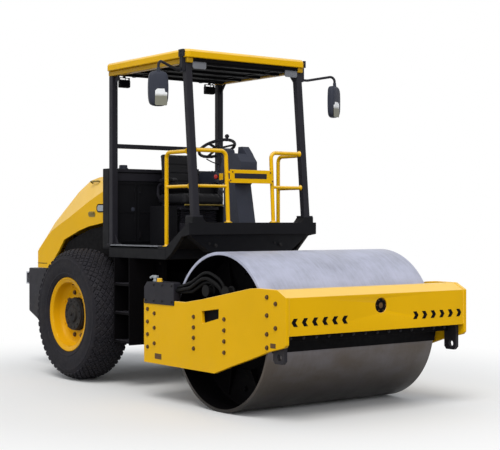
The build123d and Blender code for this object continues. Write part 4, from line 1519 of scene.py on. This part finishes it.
piece("stop_button", b, RED, "rear_frame")

# %% [markdown]
# The travel lever and the drum's lever stand on folded boxes on both sides of the seat, with
# a rubber boot at the foot and a shaped grip on top. A turned outline makes the boot's folds.

# %% Levers beside the seat
b = bmesh.new()
for y, lean, high in ((-250, 0.1, 230), (330, -0.05, 170)):
    foot = Vector((745, y, 1590))
    bar(b, (560, 880), (y - 42, y + 42), (floor_high.z, 1590))
    turned(b, [(0, 0), (30, 0), (26, 14), (20, 20), (22, 28), (14, 36), (0, 36)], facing(foot), 28)
    tube(b, [foot, foot + Vector((10, 0, high * 0.5)), foot + Vector((lean * 300, 0, high))], 7, 60, 12)
    turned(b, [(0, -34), (12, -34), (19, -20), (22, 4), (19, 24), (10, 34), (0, 36)],
           facing(foot + Vector((lean * 300, 0, high)), (lean, 0, 1)), 24)
# The lever boxes get the darker black: painted shade on the platform.
piece("side_levers", b, SHADE_BLACK, "rear_frame", edge=2)

# %% [markdown]
# The steering wheel has a padded rim with finger grips on its underside, three spokes that
# sink towards the hub, and a spinner knob for one-handed turning. The rim is a lathe ring
# whose points are then pushed out and in by a wave to make the grips.

# %% Steering wheel
wheel_at = Matrix.Translation((1138, middle_y, 2097)) @ Matrix.Rotation(math.radians(-25), 4, "Y")
RIM_MIDDLE = 162
b = bmesh.new()
around, across = 144, 14
rings = []
for k in range(around):
    a = math.tau * k / around
    ring = []
    for i in range(across):
        t = math.tau * i / across
        thick = 13.6 + 1.3 * max(0, -math.sin(t)) * math.cos(a * 24)
        r = RIM_MIDDLE + thick * math.cos(t)
        ring.append(b.verts.new(wheel_at @ Vector((r * math.cos(a), r * math.sin(a), thick * math.sin(t)))))
    rings.append(ring)
for k in range(around):
    first, second = rings[k], rings[(k + 1) % around]
    for i in range(across):
        j = (i + 1) % across
        b.faces.new((first[i], first[j], second[j], second[i]))
for k in range(3):
    spoke = wheel_at @ Matrix.Rotation(math.radians(60 + 120 * k), 4, "Z")
    plate(b, [(30, -8), (150, -4), (162, 0), (150, 5), (30, 2)], "Y", -13, 13, spoke)
boss = [(0, -118), (21, -118), (21, -20), (38, -16), (42, -8), (42, 6), (36, 14), (20, 17), (0, 17)]
turned(b, boss, wheel_at, 40)
turned(b, [(0, 0), (7, 0), (7, 14), (18, 20), (20, 34), (14, 44), (0, 46)],
       wheel_at @ facing((161, 14, 6)), 24)
piece("steering_wheel_padded", b, BLACK, "rear_frame", ["steering_wheel"], edge=1, sharp=40)
b = bmesh.new()
boot = [(r, -545 - 11 * k) for k, r in enumerate((38, 45, 38, 46, 38, 46))]
column = [(0, -119), (29, -119), (33, -126), (33, -290), (31, -294), (31, -535)]
turned(b, column + boot + [(0, -600)], wheel_at, 40)
tube(b, [wheel_at @ Vector(p) for p in ((0, -28, -160), (20, -110, -150), (30, -170, -128))], 5, 40, 10)
piece("steering_column_cover", b, BLACK, "rear_frame", ["steering_column"], edge=1, sharp=40)

# %% [markdown]
# ## Roll-over frame and roof
# Four square posts carry the roof and save the operator if the machine tips. Their corners are rolled, so the
# eased edge is wide. Each foot has a plate, those below 1300 mm with two bolts, and each head has a gusset.
# The roof is one pressed sheet over two members, with a dark lining.

# %% Posts, gussets and crossbar
for node in ("front_posts", "rear_posts", "rear_crossbar"):
    eased(node, BLACK, 7)
# The members get the darker yellow: painted shade under the roof's overhang.
eased("roof_side_members", SHADED_YELLOW, 7)
POST_Y = 585
b, bolts = bmesh.new(), bmesh.new()
for sign in (1, -1):
    y = sign * POST_Y
    for x, z in ((410, floor_high.z), (1700, front_high.z)):
        if z < 1300:
            bar(b, (x - 28, x + 60), (y - 52, y + 52), (z, z + 12))
            for dx, dy in ((48, -40), (48, 40)):
                bolt(bolts, (x + dx, y + dy, z + 12), (0, 0, 1), 15)
        else:
            bar(b, (1640, 1744), (y - 50, y + 50), (z - 2, z + 10))
    plate(b, [(442, 2740), (442, 2660), (520, 2757), (520, 2764)], "Y", y - 5, y + 5)
    plate(b, [(440, 1240), (440, 1330), (448, 1330), (500, 1252), (500, 1240)], "Y", y - 5, y + 5)
    plate(b, [(1560, 2740), (1568, 2640), (1470, 2757)], "Y", y - 5, y + 5)
piece("post_feet_and_gussets", b, BLACK, "rear_frame", edge=2)
piece("post_foot_bolts", bolts, IRON, "rear_frame")
b = bmesh.new()
for sign in (1, -1):
    y = sign * 487
    plate(b, [(y - 68, 2798), (y + 68, 2798), (y + 68, 2724), (y + 56, 2712), (y - 56, 2712), (y - 68, 2724)],
          "X", 1618, 1626)
    for dy in (-44, 44):
        bolt(b, (1626, y + dy, 2774), (1, 0, 0), 15)
piece("front_gusset_plates", b, GREY, "rear_frame", edge=1)

# %% [markdown]
# The roof's sheet has softly pressed edges. Underneath it, the lining is a dark panel with
# seams, stiffened by cross bars. A black clamp on each side edge, near the front, holds the
# mirror's arm.

# %% Roof, lining and arm clamps
eased("roof_panel", YELLOW, 8)
coat(DARK, "roof_liner")
roof_high = limits("roof_panel")[1]
b = bmesh.new()
for x in (520, 800, 1080, 1360, 1590):
    bar(b, (x, x + 34), (-540, 540), (2750, 2771))
for y in (-370, 370):
    bar(b, (400, 1620), (y - 14, y + 14), (2760, 2771))
piece("roof_cross_bars", b, DARK, "rear_frame", edge=3)
b = bmesh.new()
for sign in (1, -1):
    y = sign * roof_high.y
    bar(b, (1560, 1626), tuple(sorted((y - sign * 8, y + sign * 12))), (2806, 2866))
    bar(b, (1572, 1608), tuple(sorted((y - sign * 30, y + sign * 8))), (2690, 2806))
    for z in (2822, 2850):
        bolt(b, (1593, y + sign * 12, z), (0, sign, 0), 13)
piece("mirror_arm_clamps", b, BLACK, "rear_frame", edge=2)

# %% [markdown]
# The handrails are bent tubes. Each foot is welded to a small flange, and each end to the
# post by a ring of weld. The CAD tubes are right and only need paint. Between the front
# rails stands a plain board, held by four bolts.

# %% Handrails and board
def weld_ring(b, r, place):
    """A bead round the end of a tube of radius r, thick at the wall it meets."""
    turned(b, [(r, -16), (r + 3, -14), (r + 9, -5), (r + 10, 0), (r, 0)], place, 28)


coat(YELLOW, "front_rails", "side_rails")
eased("front_board", YELLOW, 1.5)
b, bolts = bmesh.new(), bmesh.new()
for sign in (1, -1):
    for x, y, z in ((1688, 240, front_high.z - 48), (1302, 600, floor_high.z)):
        y *= sign
        turned(b, [(17, 0), (34, 0), (34, 6), (21, 7), (19, 14), (17, 16)], facing((x, y, z)), 28)
        for k in range(3):
            a = math.tau * k / 3 + 0.5
            bolt(bolts, (x + 27 * math.cos(a), y + 27 * math.sin(a), z + 6), (0, 0, 1), 8, washer=False)
    for x, z, r in ((1655, 2041, 17), (1672, 1745, 13)):
        weld_ring(b, r, facing((x, sign * 555, z), (0, sign, 0)))
    for x, z, r in ((1618, 2030, 17), (1645, 1742, 13)):
        weld_ring(b, r, facing((x, sign * 600, z), (1, 0, 0)))
    for y in (200, 222):
        bolt(bolts, (1698, sign * y, 1866 if y == 200 else 1794), (1, 0, 0), 10)
piece("rail_flanges_and_welds", b, YELLOW, "rear_frame")
piece("rail_bolts", bolts, BOLT, "rear_frame")
b = bmesh.new()
for sign in (1, -1):
    for z in (1796, 1864):
        bar(b, (1664, 1692), (sign * 232 - 9, sign * 232 + 9), (z - 9, z + 9))
piece("board_brackets", b, YELLOW, "rear_frame", edge=1)
b = bmesh.new()
plate(b, [(-180, 1812), (160, 1812), (160, 1856), (-180, 1856)], "X", 1697.5, 1699.5)
for y in (-170, 150):
    turned(b, [(0, 0), (4, 0), (3, 1.5), (0, 2)], facing((1699.5, y, 1834), (1, 0, 0)), 12)
piece("board_blank_band", b, BLACK, "rear_frame", edge=0.5)

# %% [markdown]
# ## Mirrors and lamps
# A mirror is a shallow shell with a rounded back, a glass set into its open face and a ball joint on the arm.
# The shell is made from a coarse cage and a subdivision surface, because its back is curved both ways. Its
# lower part carries a second small glass that looks forward, at the drum's edge. Its reflection is painted:
# pale sky above, grey-green ground below.

# %% A moulded shell
def eight_sided(half_wide, half_high, soft):
    """A rectangle's outline whose corners are cut back to the part soft of each side."""
    u, v = half_wide, half_high
    return [(u, v * soft), (u * soft, v), (-u * soft, v), (-u, v * soft),
            (-u, -v * soft), (-u * soft, -v), (u * soft, -v), (u, -v * soft)]


def rounded_shell(name, place, sizes, finish, nodes, hollow):
    """A soft-cornered moulding from a coarse cage, hollowed on its -X face."""
    b = bmesh.new()
    dx, dy, dz = (s / 2 for s in sizes)
    cage = []
    for x, grow in ((-dx, 1.0), (-dx * 0.8, 1.0), (dx * 0.5, 1.0), (dx, 0.78)):
        cage.append([b.verts.new((x, y, z)) for y, z in eight_sided(dy * grow, dz * grow, 0.72)])
    for x, grow in ((-dx, 0.9), (-dx + hollow, 0.88)):
        cage.insert(0, [b.verts.new((x, v.co.y * grow, v.co.z * grow)) for v in cage[-3]])
    for first, second in zip(cage, cage[1:]):
        for i in range(8):
            j = (i + 1) % 8
            b.faces.new((first[i], first[j], second[j], second[i]))
    b.faces.new(cage[0])
    b.faces.new(cage[-1])
    bmesh.ops.transform(b, matrix=place, verts=b.verts)
    ob = piece(name, b, finish, "rear_frame", nodes, sharp=60)
    smooth = ob.modifiers.new("moulded", "SUBSURF")
    smooth.levels = smooth.render_levels = 2


print("an eight-sided outline:", eight_sided(4, 4, 0.5))

# %% [markdown]
# Both mirrors are made alike, and both are turned in towards the operator. The big glass
# sits in the shell's hollow and looks back. The small one stands in front of the shell.

# %% Both mirrors
MIRROR_X, MIRROR_Y = 1691, 933
coat(BLACK, "mirror_arms")
mirror_low, mirror_high = limits("mirrors")
mirror_z, mirror_tall = (mirror_low.z + mirror_high.z) / 2, mirror_high.z - mirror_low.z - 2
b, glass, small = bmesh.new(), bmesh.new(), bmesh.new()
for side, sign in (("left", 1), ("right", -1)):
    toe_in = Matrix.Rotation(math.radians(22 * sign), 4, "Z")
    place = Matrix.Translation((MIRROR_X, sign * MIRROR_Y, mirror_z)) @ toe_in
    rounded_shell(f"{side}_mirror_shell", place, (60, 168, mirror_tall), PLASTIC,
                  ["mirrors"] if sign > 0 else (), 12)
    plate(glass, eight_sided(66, mirror_tall * 0.42, 0.75), "X", -24, -20, place)
    foot = 6 - mirror_tall / 2
    wing = [(-28, foot), (60, foot), (66, foot + 10), (66, foot + 104), (50, foot + 108), (44, foot + 134),
            (-14, foot + 134), (-32, foot + 116), (-34, foot + 10)]
    wing = [(-sign * y, z) for y, z in wing]
    plate(small, wing, "X", 24, 30, place)
    ball = (MIRROR_X, sign * MIRROR_Y, 2652)
    turned(b, [(0, 0), (17, 0), (17, 10), (13, 14), (15, 24), (13, 34), (0, 36)], facing(ball), 24)
    turned(b, [(13, -10), (18, -10), (18, 10), (13, 10)], facing((1590, sign * 640, 2700), (0, 1, 0)), 24)
piece("mirror_ball_joints", b, PLASTIC, "rear_frame", edge=1)
piece("mirror_glasses", glass, GLASS, "rear_frame", edge=2)
piece("drum_edge_mirrors", small, CONVEX, "rear_frame", edge=2)

# %% [markdown]
# Two work lamps look back from under the roof's rear edge. Each has a finned housing and a
# flat clear lens with upright ribs, and hangs in a forked bracket with a short cable.

# %% Work lamps
LAMP_Y = 472
b, lens, fork = bmesh.new(), bmesh.new(), bmesh.new()
for side, sign in (("left", 1), ("right", -1)):
    y = sign * LAMP_Y
    shell = bmesh.new()
    outline = [(388, 2662), (424, 2662), (438, 2672), (438, 2722), (424, 2734), (388, 2734), (384, 2730),
               (384, 2666)]
    plate(shell, outline, "Y", y - 49, y + 49)
    stood_for = ["work_lamps"] if sign > 0 else ()
    piece(f"{side}_lamp_housing", shell, DARK, "rear_frame", stood_for, 5)
    for k in range(5):
        bar(b, (432, 440), (y - 36 + 16 * k, y - 31 + 16 * k), (2672, 2724))
    plate(lens, [(y - 40, 2668), (y + 40, 2668), (y + 42, 2672), (y + 42, 2722), (y + 40, 2726),
                 (y - 40, 2726), (y - 42, 2722), (y - 42, 2672)], "X", 384, 390)
    for k in range(9):
        bar(lens, (382, 384), (y - 36 + 9 * k - 1.5, y - 36 + 9 * k + 1.5), (2672, 2722))
    for dy in (-51, 51):
        bar(fork, (398, 422), tuple(sorted((y + dy - 2, y + dy + 2))), (2690, 2752))
        bolt(fork, (410, y + dy, 2700), (0, math.copysign(1, dy), 0), 13)
    bar(fork, (398, 422), (y - 53, y + 53), (2748, 2753))
    bar(fork, (400, 420), (y - 10, y + 10), (2752, 2772))
    cable = [(424, y, 2730), (432, y, 2748), (452, y + sign * 30, 2760), (470, y + sign * 60, 2766)]
    tube(fork, cable, 4, 14, 8)
piece("lamp_fins", b, DARK, "rear_frame", edge=0.8)
piece("lamp_lenses", lens, LENS, "rear_frame", edge=1)
piece("lamp_brackets", fork, BLACK, "rear_frame", edge=0.8)

# %% [markdown]
# ## Last check
# The finished machine has to fill the same box as the CAD model, and every node has to carry a finish. Only
# the finishes are looked at here: each CAD node still shown without a mixed finish is listed.

# %% Finishes and the end
mixed = set(bpy.data.materials.keys()) - {m.name for m in bpy.data.materials if not m.users}
bare = [name for name, ob in frame["nodes"].items()
        if not ob.hide_render and not (ob.data.materials and ob.data.materials[0].name in mixed
                                       and "Principled BSDF" in ob.data.materials[0].node_tree.nodes
                                       and len(ob.data.materials[0].node_tree.nodes) > 6)]
print("CAD nodes still without a finish:", bare)
